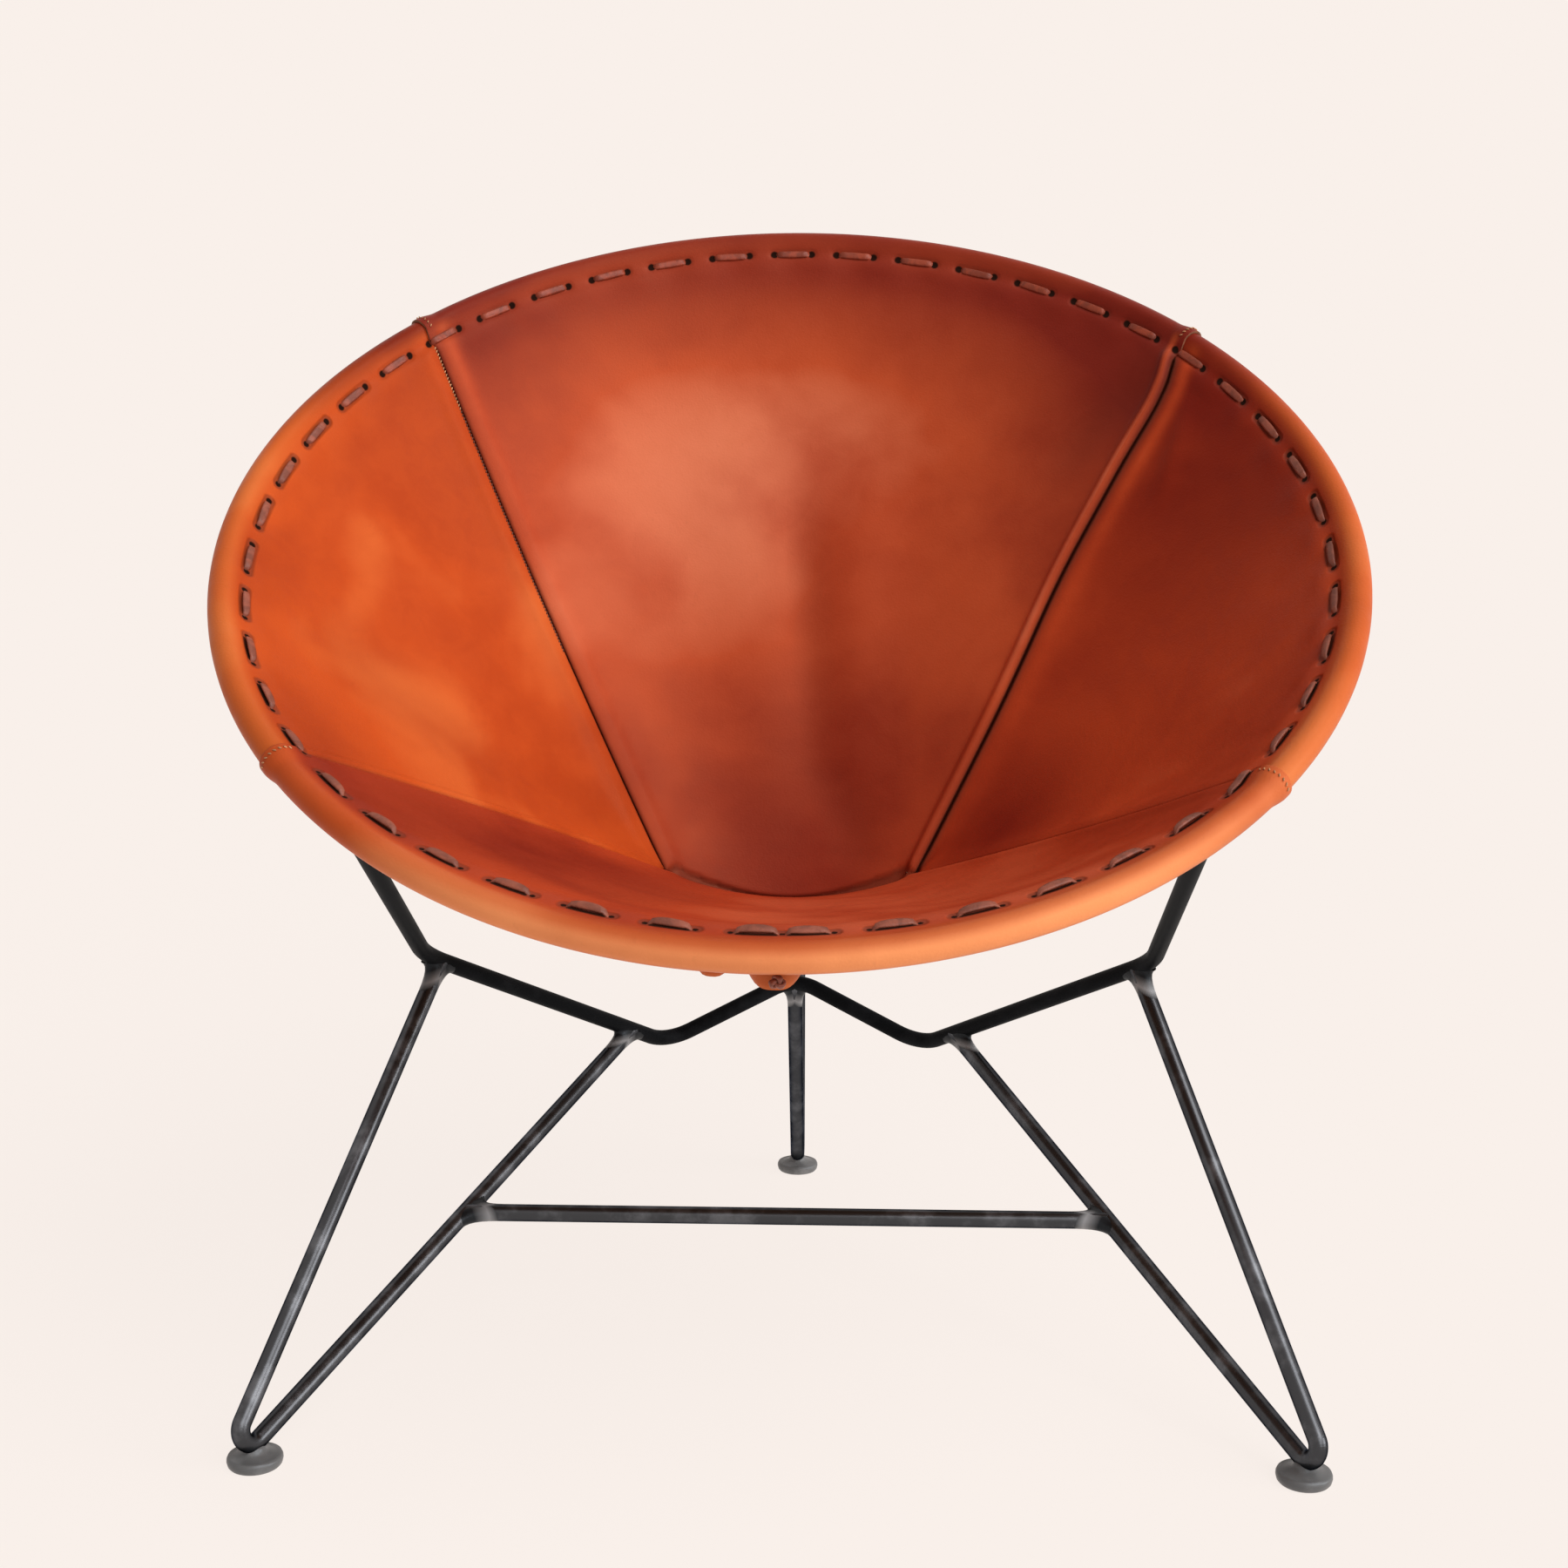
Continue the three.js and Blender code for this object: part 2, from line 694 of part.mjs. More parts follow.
const blackSteel = new THREE.MeshStandardMaterial({ color: 0x1b1c1e, roughness: 0.42, metalness: 0.6 });
const glideSteel = new THREE.MeshStandardMaterial({ color: 0x3a3c3f, roughness: 0.5, metalness: 0.5 });
const tanLeather = new THREE.MeshStandardMaterial({ color: 0xb5602c, roughness: 0.45, metalness: 0 });
const brownLeather = new THREE.MeshStandardMaterial({ color: 0x4a2218, roughness: 0.5, metalness: 0 });

const chair = new THREE.Group();

function addPiece(name, geometry, material) {
  const piece = new THREE.Mesh(geometry, material);
  piece.name = name;
  chair.add(piece);
}

addPiece('hoop_ring', geometryOf(hoopRing), blackSteel);
addPiece('cradle_rod', geometryOf(cradleRod), blackSteel);
addPiece('front_leg_left', geometryOf(leftLeg), blackSteel);
addPiece('front_leg_right', geometryOf(rightLeg), blackSteel);
addPiece('rear_leg', geometryOf(rearLeg), blackSteel);
addPiece('crossbar', geometryOf(crossbar), blackSteel);
addPiece('glide_left', geometryOf(glide(mirrored(frontFoot), leftStations)), glideSteel);
addPiece('glide_right', geometryOf(glide(frontFoot, rightStations)), glideSteel);
addPiece('glide_rear', geometryOf(glide(rearFoot, rearStations)), glideSteel);
addPiece('seat_panel', geometryOf(panelSolid(panels.seat)), tanLeather);
addPiece('back_panel', geometryOf(panelSolid(panels.back)), tanLeather);
addPiece('side_panel_left', geometryOf(panelSolid(panels.left)), tanLeather);
addPiece('side_panel_right', geometryOf(panelSolid(panels.right)), tanLeather);
addPiece('lace', geometryOf(solidOf(laceGeometry())), brownLeather);
addPiece('lace_knot', geometryOf(laceKnot()), brownLeather);

// The outline's middle stands over the origin
const outlineMiddle = new THREE.Box3().setFromObject(chair).getCenter(new THREE.Vector3());
chair.position.set(-outlineMiddle.x, -outlineMiddle.y, 0);
chair.updateMatrixWorld(true);

export default chair;
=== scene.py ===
import math
from types import SimpleNamespace

import bmesh
import bpy
import numpy as np
from mathutils import Matrix, Vector, noise


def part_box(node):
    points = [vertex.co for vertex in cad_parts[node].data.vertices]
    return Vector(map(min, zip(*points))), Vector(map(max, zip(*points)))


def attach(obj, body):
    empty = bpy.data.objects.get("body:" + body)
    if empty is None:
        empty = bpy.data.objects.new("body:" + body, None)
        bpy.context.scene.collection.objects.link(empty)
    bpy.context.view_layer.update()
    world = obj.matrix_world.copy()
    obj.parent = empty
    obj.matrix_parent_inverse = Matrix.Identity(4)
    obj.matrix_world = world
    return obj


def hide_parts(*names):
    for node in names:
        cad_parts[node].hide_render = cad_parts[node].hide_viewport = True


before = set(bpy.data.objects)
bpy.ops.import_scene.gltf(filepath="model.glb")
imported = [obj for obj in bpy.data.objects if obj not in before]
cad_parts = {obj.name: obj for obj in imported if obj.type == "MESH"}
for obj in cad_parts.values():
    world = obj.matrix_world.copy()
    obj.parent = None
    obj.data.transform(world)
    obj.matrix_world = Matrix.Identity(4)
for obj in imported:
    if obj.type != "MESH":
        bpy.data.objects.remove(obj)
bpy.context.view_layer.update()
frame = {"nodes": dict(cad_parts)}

bl_info = {
    "name": "Hoop Lounge Chair",
    "version": (1, 0, 0),
    "blender": (4, 5, 0),
    "location": "View3D > Sidebar > Hoop Chair",
    "description": "Builds a laced leather hoop chair on a frame of welded round bar",
    "category": "Add Mesh",
}

BODY = "root"

# The middle of the hoop in the frame's coordinates
HOOP_MIDDLE = (np.array(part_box("hoop_ring")[0]) + np.array(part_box("hoop_ring")[1])) / 2

# Mesh fineness
BAR_SIDES = 36
BEND_STEPS = 14
HAIRPIN_STEPS = 24
HAIRPIN_PASSES = 6
WELD_SIDES = 48
WELD_ROWS = 7
WELD_WAVES = 15
GLIDE_STEPS = 72
SLOPE_PASSES = 8
COLUMN_STEP = 0.0027
HEM_ROWS = 9
SLEEVE_ROWS = 26
NEAR_ROWS = 20
POCKET_ROWS = 66
LACE_SIDES = 10
DASH_STATIONS = 11
UNDER_STATIONS = 7
STITCH_ROWS = 5
KNOT_STATIONS = 90

# How far a weld's foot leans along the joining bar, and where along it a pale grey patch is painted
WELD_LEAN = 0.7
WELD_PALE = 0.2

# Vertices closer than this are one, in metres
WELD_DISTANCE = 0.000001

# Finite steps for the sling's directions
SHARE_STEP = 0.0002
SECTION_STEP = 0.0001

# Places across a panel where its width is measured, the share of a lap that a side panel has,
# and the widths of its rolled edge that a narrow tip keeps
WIDTH_PROBES = 33
SHORT_LAP = 0.6
NARROWEST = 2.6

# Leather's pores per metre and clouds per metre, its clouds' and mottle's tints, its relief
GRAIN_SCALES = (620.0, 6.0)
CLOUD_TINT = (0.84, 0.74, 0.80)
MOTTLE_TINT = (1.10, 1.20, 1.30)
GRAIN_DEPTH = 0.00035
PEEL_DEPTH = 0.000016

# Part of the sleeve, in metres from where the leather leaves it, that has the rim's tan
RIM_BAND = (-0.004, 0.010)

# Half the side of the floor, in metres
FLOOR_HALF = 12

BLACK = (0.0, 0.0, 0.0)
WHITE = (1.0, 1.0, 1.0)
VECTOR_INPUTS = ("Vector", "Place")


# ---------------------------------------------------------------- sizes


def length_field(name, description, value):
    """A setting in metres."""
    return bpy.props.FloatProperty(
        name=name, description=description, default=value, unit="LENGTH")


def angle_field(name, description, degrees):
    """A setting kept in radians, with its default given in degrees."""
    return bpy.props.FloatProperty(
        name=name, description=description, default=math.radians(degrees), subtype="ANGLE")


def share_field(name, description, value):
    """A setting that is a share of something."""
    return bpy.props.FloatProperty(
        name=name, description=description, default=value, subtype="FACTOR")


def number_field(name, description, value):
    """A plain number."""
    return bpy.props.FloatProperty(name=name, description=description, default=value)


def count_field(name, description, value):
    """A whole number."""
    return bpy.props.IntProperty(name=name, description=description, default=value)


def point_field(name, description, value):
    """A point in metres."""
    return bpy.props.FloatVectorProperty(
        name=name, description=description, default=value, subtype="XYZ", unit="LENGTH")


def colour_field(name, description, value, most=1):
    """A colour."""
    return bpy.props.FloatVectorProperty(
        name=name, description=description, default=value, subtype="COLOR", min=0, max=most)


class HoopChairFrame(bpy.types.PropertyGroup):
    """Sizes of the welded bar frame"""

    bar_radius: length_field("Bar radius", "Radius of the round bar", 0.00635)
    bend_radius: length_field("Bend radius", "Radius of the cradle's bends", 0.038)
    knee_radius: length_field("Knee radius", "Radius of the bends between posts and rails", 0.075)
    hairpin_radius: length_field("Hairpin radius", "Radius of the bend at each foot", 0.010)
    hoop_radius: length_field("Hoop radius", "Radius of the hoop's centre line", 0.400)
    lean: angle_field("Lean", "How far the hoop leans back", 35)
    post_angle: angle_field("Post angle", "Where the posts meet the hoop, from its front", 41)
    knee: point_field("Knee", "Bend between post and rail, from under the hoop's middle",
                (0.2687, -0.0049, 0.298))
    heel: point_field("Heel", "Bend at the low end of the rail", (0.1079, 0.2125, 0.1704))
    crown: point_field("Crown", "Raised bend in the middle of the cradle", (0.0, 0.2405, 0.2203))
    front_foot: point_field("Front foot", "Middle of the hairpin's bend over the front glide",
                      (0.348, -0.2165, 0.01565))
    rear_foot: point_field("Rear foot", "Middle of the hairpin's bend over the rear glide",
                     (0.0, 0.3812, 0.01565))
    outer_seat: share_field(
        "Outer seat", "Share of the rail where the leg's outer bar meets it", 0.06)
    inner_seat: share_field(
        "Inner seat", "Share of the rail where the leg's inner bar meets it", 0.84)
    crossbar_seat: share_field(
        "Crossbar seat", "Share of the inner bar where the crossbar meets it",
                         0.5)
    weld_reach: length_field("Weld reach", "How far a weld runs out along the bars", 0.0085)
    weld_sleeve: length_field(
        "Weld sleeve", "How far a ground weld runs along the joining bar", 0.022)
    weld_height: length_field("Weld height", "How far a weld stands out of the bars", 0.0002)
    weld_ripple: length_field("Weld ripple", "Height of the ripples in a weld", 0.00003)


class HoopChairGlide(bpy.types.PropertyGroup):
    """Sizes of the button glides"""

    base_radius: length_field("Base radius", "Radius of the flat face on the floor", 0.0168)
    radius: length_field("Radius", "Radius of the button's edge", 0.0186)
    edge_height: length_field("Edge height", "Height of the widest part of the edge", 0.0058)
    height: length_field("Height", "Height of the button under the bar", 0.0110)
    collar_radius: length_field("Collar radius", "Radius of the weld round the hairpin", 0.0068)


class HoopChairSling(bpy.types.PropertyGroup):
    """Sizes of the leather sling"""

    leather: length_field("Leather", "Thickness of the leather", 0.0030)
    wrap_radius: length_field("Sleeve radius", "Outer radius of the sleeve round the hoop", 0.01015)
    pocket_depth: length_field("Pocket depth", "Depth of the crease's ends under the hoop's plane",
                         0.262)
    crease_offset: length_field(
        "Crease offset", "Place of the crease in front of the hoop's middle",
                          -0.0853)
    crease_half_width: length_field("Crease half width", "Half the length of the crease", 0.096)
    crease_sag: length_field(
        "Crease sag", "How far the crease's middle hangs under its ends", 0.027)
    front_sag: length_field("Front sag", "Sag of the leather from the front of the hoop", -0.004)
    back_sag: length_field("Back sag", "Sag of the leather from the back of the hoop", 0.012)
    twist: length_field("Twist", "Sag that two opposite seams have more than the other two", 0.0055)
    hem_length: length_field("Hem length", "Length of the turned-under hem", 0.025)
    gusset_tip: length_field("Gusset tip", "Width left at the low tip of a side panel", 0.004)
    turn: angle_field("Turn", "How far the sling sits turned round the hoop", -1.2)
    front_seam: angle_field(
        "Front seam", "Angle of the front seams from the front of the hoop", 52.3)
    back_seam: angle_field("Back seam", "Angle of the back seams from the front of the hoop", 130)
    valley: length_field("Valley", "How far the lace pulls the leather down", 0.0022)
    valley_width: length_field("Valley width", "Half width of the valley along the lace", 0.006)
    front_lift: length_field(
        "Front lift", "How far the leather stands up behind the front of the hoop",
                       0.0055)
    dimple: length_field("Dimple", "Depth of the dimple at each hole", 0.0009)
    seam_bow: length_field(
        "Seam bow", "How far the right rear seam swings out and back in", -0.0045)
    lap: length_field("Lap", "How far the sleeves overlap at a seam", 0.003)


class HoopChairLace(bpy.types.PropertyGroup):
    """Sizes of the lace and of the sewing thread"""

    width: length_field("Width", "Width of the thong where it lies flat", 0.0060)
    dive: length_field("Dive", "How far inside a hole the thong goes down", 0.0023)
    thickness: length_field("Thickness", "Thickness of the thong", 0.0022)
    inset: length_field(
        "Inset", "Distance of the lace from where the leather leaves the sleeve", 0.0123)
    stitches: count_field("Stitches", "Number of visible stitches", 47)
    dash: angle_field("Dash", "Angle that one visible stitch covers", 4.6)
    start: angle_field("Start", "Angle of the first hole from the front of the hoop", 0.85)
    hole_radius: length_field("Hole radius", "Radius of a punched hole", 0.0029)
    arch: length_field("Arch", "How far a stitch stands up in its middle at the sides", 0.0017)
    tilt: angle_field("Tilt", "How far the front stitches lean outwards", 54)
    knot_radius: length_field("Knot radius", "Radius of the knot that ties the two ends", 0.0042)
    thread_length: length_field("Thread length", "Length of one machine stitch", 0.0030)
    thread_pitch: length_field(
        "Thread pitch", "Distance from one machine stitch to the next", 0.0030)
    thread_radius: length_field("Thread radius", "Radius of the sewing thread", 0.00055)


class HoopChairLook(bpy.types.PropertyGroup):
    """Colours of the finishes, and of the light and shade painted on them"""

    left_tan: colour_field("Left panel", "Tan of the left side panel", (0.565, 0.077, 0.0120))
    right_tan: colour_field("Right panel", "Tan of the right side panel", (0.58, 0.072, 0.019))
    back_tan: colour_field("Back panel", "Tan of the back panel", (0.54, 0.082, 0.026))
    seat_tan: colour_field("Seat panel", "Tan of the seat panel", (0.49, 0.056, 0.015))
    # The rim's paler tan is partly stretched pull-up leather and partly a painted highlight on the
    # tube
    stretched_and_lit_rim_tan: colour_field(
        "Rim", "Tan where the leather is stretched round the hoop", (0.63, 0.130, 0.026))
    # Multiplies the tan where the leather has painted shade, with its darker random clouds
    shade_and_cloud_tone: colour_field("Deep tone", "What the patina's deep patches multiply the tan by",
                      (0.40, 0.24, 0.42))
    sheen: colour_field("Sheen", "Tint of the leather's shine", (1.0, 0.56, 0.35))
    # Multiplies the tan where the leather has painted light and painted highlights, with its
    # lighter random clouds
    light_and_cloud_tone: colour_field("Bright tone", "What the patina's bright patches multiply the tan by",
                              (1.80, 4.00, 6.60), 8)
    # Painted shade in the folds and in the tray round each stitch; the scuffs, which are real wear,
    # take it too
    fold_shade_and_scuff: colour_field("Folds", "Tan in folds and rubbed places", (0.14, 0.030, 0.016))
    flesh: colour_field("Flesh side", "Rough back of the leather", (0.40, 0.19, 0.10))
    cut_edge: colour_field("Cut edge", "Edge of the leather", (0.26, 0.09, 0.04))
    # Painted shade at the bottom of the grooves beside the seams
    groove: colour_field(
        "Grooves", "Deepest part of the grooves beside the seams", (0.045, 0.008, 0.004))
    # Painted shade inside the punched holes, which are painted on and not cut
    hole: colour_field("Holes", "Inside of the punched holes", (0.010, 0.003, 0.002))
    # Lit and shaded copies of the one thong: paler and pinker at the front, where the light falls,
    # darker at the back in shade
    lace: colour_field("Lace", "Brown of the thong", (0.33, 0.090, 0.052))
    shaded_rear_lace: colour_field(
        "Lace at the back", "Tan of the thong at the back", (0.33, 0.052, 0.020))
    thread: colour_field("Thread", "Pale sewing thread", (0.72, 0.36, 0.17))
    # The same thread as the pale one, painted darker where the seam runs down into the pocket's
    # shade
    shaded_thread: colour_field("Dark thread", "Sewing thread in the pocket", (0.16, 0.05, 0.03))
    steel: colour_field("Steel", "Satin black coat of the bars", (0.007, 0.0075, 0.0085))
    leg: colour_field("Legs", "Tint of what the legs' smooth coat mirrors", (0.058, 0.060, 0.065))
    leg_edge: colour_field(
        "Leg rims", "Tint of what the rims of the legs mirror", (0.22, 0.24, 0.27))
    steel_shine: colour_field(
        "Steel shine", "Tint of the highlights on the bars", (0.80, 0.90, 1.0))
    # Pale grey patch painted on each weld, on its sleeve along the joining bar
    weld: colour_field("Weld", "Bare steel where the welds are rubbed", (0.42, 0.42, 0.43))
    glide: colour_field("Glides", "Dark grey of the glides", (0.115, 0.113, 0.112))
    backdrop: colour_field("Backdrop", "Pale floor and backdrop", (0.947, 0.871, 0.823))


class HoopChairView(bpy.types.PropertyGroup):
    """Camera and lights"""

    eye: point_field("Eye", "Camera's place from the hoop's middle", (0.0430, -1.5624, 0.0765))
    pitch: angle_field("Pitch", "How far the camera looks down", 9.23)
    yaw: angle_field("Yaw", "How far the camera looks to its left", 1.48)
    roll: angle_field("Roll", "How far the camera is turned about its own line of sight", 0.22)
    lens: number_field("Lens", "Focal length in millimetres", 49.79)
    shift: bpy.props.FloatVectorProperty(
        name="Shift", description="Shift of the picture as a share of its width",
        default=(-0.0047, -0.0025), size=2)
    window_side: angle_field(
        "Window side", "How far the window stands to the right of the camera", 60)
    low_side: angle_field("Low side", "How far the window's lower part stands to the right", 76)
    high: number_field("High window", "Strength of the light from the window's upper part", 1.25)
    low: number_field("Low window", "Strength of the light from the window's lower part", 1.25)
    front: number_field("Front", "Strength of the soft light from the camera's side", 1.15)
    sky: number_field("Sky", "Strength of the even light all round", 0.10)
    bounce: share_field("Bounce", "Share of the floor's glow that lights the chair from below", 0.6)
    floor_share: share_field(
        "Floor shadow", "Share of the floor's own light that the camera sees", 0.07)


class HoopChair(bpy.types.PropertyGroup):
    """Everything a maker may change on the chair"""

    frame: bpy.props.PointerProperty(type=HoopChairFrame)
    glide: bpy.props.PointerProperty(type=HoopChairGlide)
    sling: bpy.props.PointerProperty(type=HoopChairSling)
    lace: bpy.props.PointerProperty(type=HoopChairLace)
    look: bpy.props.PointerProperty(type=HoopChairLook)
    view: bpy.props.PointerProperty(type=HoopChairView)


# ---------------------------------------------------------------- node helpers


class Value:
    """An output of a node, with plain arithmetic; each step adds a maths node."""

    def __init__(self, tree, socket):
        self.tree, self.socket = tree, socket

    def step(self, operation, *others):
        values = dict(enumerate((self, *others)))
        return take(self.tree, "ShaderNodeMath", values, operation=operation)

    def __add__(self, other):
        return self.step("ADD", other)

    def __sub__(self, other):
        return self.step("SUBTRACT", other)

    def __mul__(self, other):
        return self.step("MULTIPLY", other)

    def __truediv__(self, other):
        return self.step("DIVIDE", other)

    def at_least(self, other):
        return self.step("MAXIMUM", other)

    def spread(self, low, high, to_low=0.0, to_high=1.0, kind="SMOOTHSTEP"):
        """The value taken from one range to another, eased at both ends."""
        values = {"Value": self, "From Min": low, "From Max": high, "To Min": to_low,
                  "To Max": to_high}
        return take(self.tree, "ShaderNodeMapRange", values, interpolation_type=kind, clamp=True)

    def blend(self, first, second, kind="MIX"):
        """A colour between two others, with this value as the second one's share."""
        values = {0: self, 6: first, 7: second}
        return take(self.tree, "ShaderNodeMix", values, 2, data_type="RGBA", blend_type=kind)


def feed(tree, node, values):
    """Sets a node's inputs, or links them to the outputs of other nodes."""
    for key, value in values.items():
        socket = node.inputs[key]
        if isinstance(value, Value):
            tree.links.new(value.socket, socket)
        elif socket.type == "RGBA":
            socket.default_value = (*value, 1.0)
        else:
            socket.default_value = value


def add_node(tree, kind, values, **settings):
    """A new node with its settings and inputs."""
    made = tree.nodes.new(kind)
    for key, value in settings.items():
        setattr(made, key, value)
    feed(tree, made, values)
    return made


def take(tree, kind, values, output=0, **settings):
    """One output of a new node."""
    return Value(tree, add_node(tree, kind, values, **settings).outputs[output])


def attribute(tree, name, output="Fac"):
    """A value that the mesh carries at its points."""
    return take(tree, "ShaderNodeAttribute", {}, output, attribute_name=name)


def noise_texture(tree, vector, scale, detail=2.0, roughness=0.5, distortion=0.0):
    """Cloudy noise, with its size given as a scale."""
    return take(tree, "ShaderNodeTexNoise", {
        "Vector": vector, "Scale": scale, "Detail": detail, "Roughness": roughness,
        "Distortion": distortion})


def hypotenuse(first, second):
    """Distance of a place from the origin, from its two coordinates."""
    return (first.step("POWER", 2.0) + second.step("POWER", 2.0)).step("SQRT")


def use_group(tree, build, values):
    """The outputs of a shared node group, which its function fills when it is first used."""
    name = build.__name__.replace("_", " ").title()
    group = bpy.data.node_groups.get(name)
    if group is None:
        group = bpy.data.node_groups.new(name, "ShaderNodeTree")
        for label in values:
            kind = "NodeSocketVector" if label in VECTOR_INPUTS else "NodeSocketFloat"
            group.interface.new_socket(name=label, in_out="INPUT", socket_type=kind)
        source = group.nodes.new("NodeGroupInput")
        made = build(group, {label: Value(group, source.outputs[label]) for label in values})
        for label in made:
            group.interface.new_socket(name=label, in_out="OUTPUT", socket_type="NodeSocketFloat")
        feed(group, group.nodes.new("NodeGroupOutput"), made)
    node = add_node(tree, "ShaderNodeGroup", values, node_tree=group)
    return {socket.name: Value(tree, socket) for socket in node.outputs}


def leather_grain(group, given):
    """Pores and fine creases as a height, two sizes of colour clouds, and scuffs."""
    vector, pore, cloud = given["Vector"], given["Pore"], given["Cloud"]
    pores = take(group, "ShaderNodeTexVoronoi", {"Vector": vector, "Scale": pore}, "Distance")
    creases = noise_texture(group, vector, pore * 0.28, 5.0, 0.62, 0.7)
    clouds = noise_texture(group, vector, cloud, 3.0, 0.5, 0.35)
    mottle = noise_texture(group, vector, cloud * 7.0, 6.0, 0.6, 0.5)
    drawn_out = take(group, "ShaderNodeMapping", {
        "Vector": vector, "Rotation": (0.5, 0.3, 0.8), "Scale": (1.0, 0.12, 1.0)})
    streaks = noise_texture(group, drawn_out, pore * 0.35)
    return {
        "Height": pores * 0.45 + creases * 0.75,
        "Mottle": mottle.spread(0.36, 0.66),
        "Cloud": clouds.spread(0.34, 0.66),
        "Scuff": streaks.spread(0.62, 0.78),
    }


def lace_holes(group, given):
    """Round holes in pairs along the lace line, painted dark as the shade inside them; the tray
    that each stitch lies in; and a painted shadow slot along the tube's side of each front stitch.

    Place is (stitch count from the first hole, distance from the lace line); Facing is 1 at the
    front of the hoop and -1 at its back. Radius is a hole's, and the masks are in its measure.
    """
    parts = add_node(group, "ShaderNodeSeparateXYZ", {0: given["Place"]}).outputs
    count, aside = Value(group, parts[0]), Value(group, parts[1])
    dash, pitch, radius, facing = (
        given[name] for name in ("Dash Share", "Pitch", "Radius", "Facing"))

    def along(offset):
        """Stitches from here to the nearest place that lies so far past a first hole."""
        return ((count - offset + 0.5).step("FRACT") - 0.5).step("ABSOLUTE")

    nearest = along(0.0).step("MINIMUM", along(dash)) * pitch
    size = hypotenuse(nearest, aside) / radius / facing.spread(-1.0, 1.0, 1.15, 0.70, "LINEAR")
    half = dash * 0.5
    middle = along(half)
    beyond = (middle - half).at_least(0.0) * pitch
    tray = (hypotenuse(beyond, aside) / radius).spread(1.15, 2.1, 1.0, 0.0)
    shorter = (middle - half * 0.72).at_least(0.0) * pitch
    shadow_slot = hypotenuse(shorter, aside + radius * 0.85) / radius
    return {
        "Hole": size.spread(0.72, 1.16, 1.0, 0.0),
        # The tray's mask also paints shade round each stitch, fainter at the back
        "Tray": tray * facing.spread(-1.0, -0.2, 0.25, 1.0),
        # Painted shadow slot along the tube's side of each stitch at the front
        "Slit": shadow_slot.spread(0.35, 0.80, 1.0, 0.0) * facing.spread(0.1, 0.8),
    }


def sprayed_coat(group, given):
    """Fine orange peel as a height and rubbed places as a mask."""
    vector, peel = given["Vector"], given["Peel"]
    rub = noise_texture(group, vector, peel * 0.04, 5.0, 0.6)
    return {"Height": noise_texture(group, vector, peel), "Rub": rub.spread(0.45, 0.7)}


def start_tree(owner, output):
    """The emptied node tree of a material or world, and its output node."""
    owner.use_nodes = True
    tree = owner.node_tree
    tree.nodes.clear()
    return tree, tree.nodes.new(output)


def start_material(name):
    """A new material with its node tree and Principled shader."""
    material = bpy.data.materials.new(name)
    tree, drain = start_tree(material, "ShaderNodeOutputMaterial")
    shader = tree.nodes.new("ShaderNodeBsdfPrincipled")
    tree.links.new(shader.outputs[0], drain.inputs["Surface"])
    return material, tree, shader


def finish_surface(tree, shader, base, roughness, height, distance, **constants):
    """Links colour, roughness and relief to a shader, and sets its constants by their names."""
    bump = take(tree, "ShaderNodeBump", {"Height": height, "Distance": distance})
    feed(tree, shader, {"Base Color": base, "Roughness": roughness, "Normal": bump})
    feed(tree, shader, {key.replace("_", " "): value for key, value in constants.items()})


def object_place(tree):
    """The place on the object, in metres."""
    return take(tree, "ShaderNodeTexCoord", {}, "Object")


def grain_of(tree, pore, cloud):
    """The leather's grain, with the scale of its pores and of its colour clouds."""
    place = object_place(tree)
    return use_group(tree, leather_grain, {"Vector": place, "Pore": pore, "Cloud": cloud})


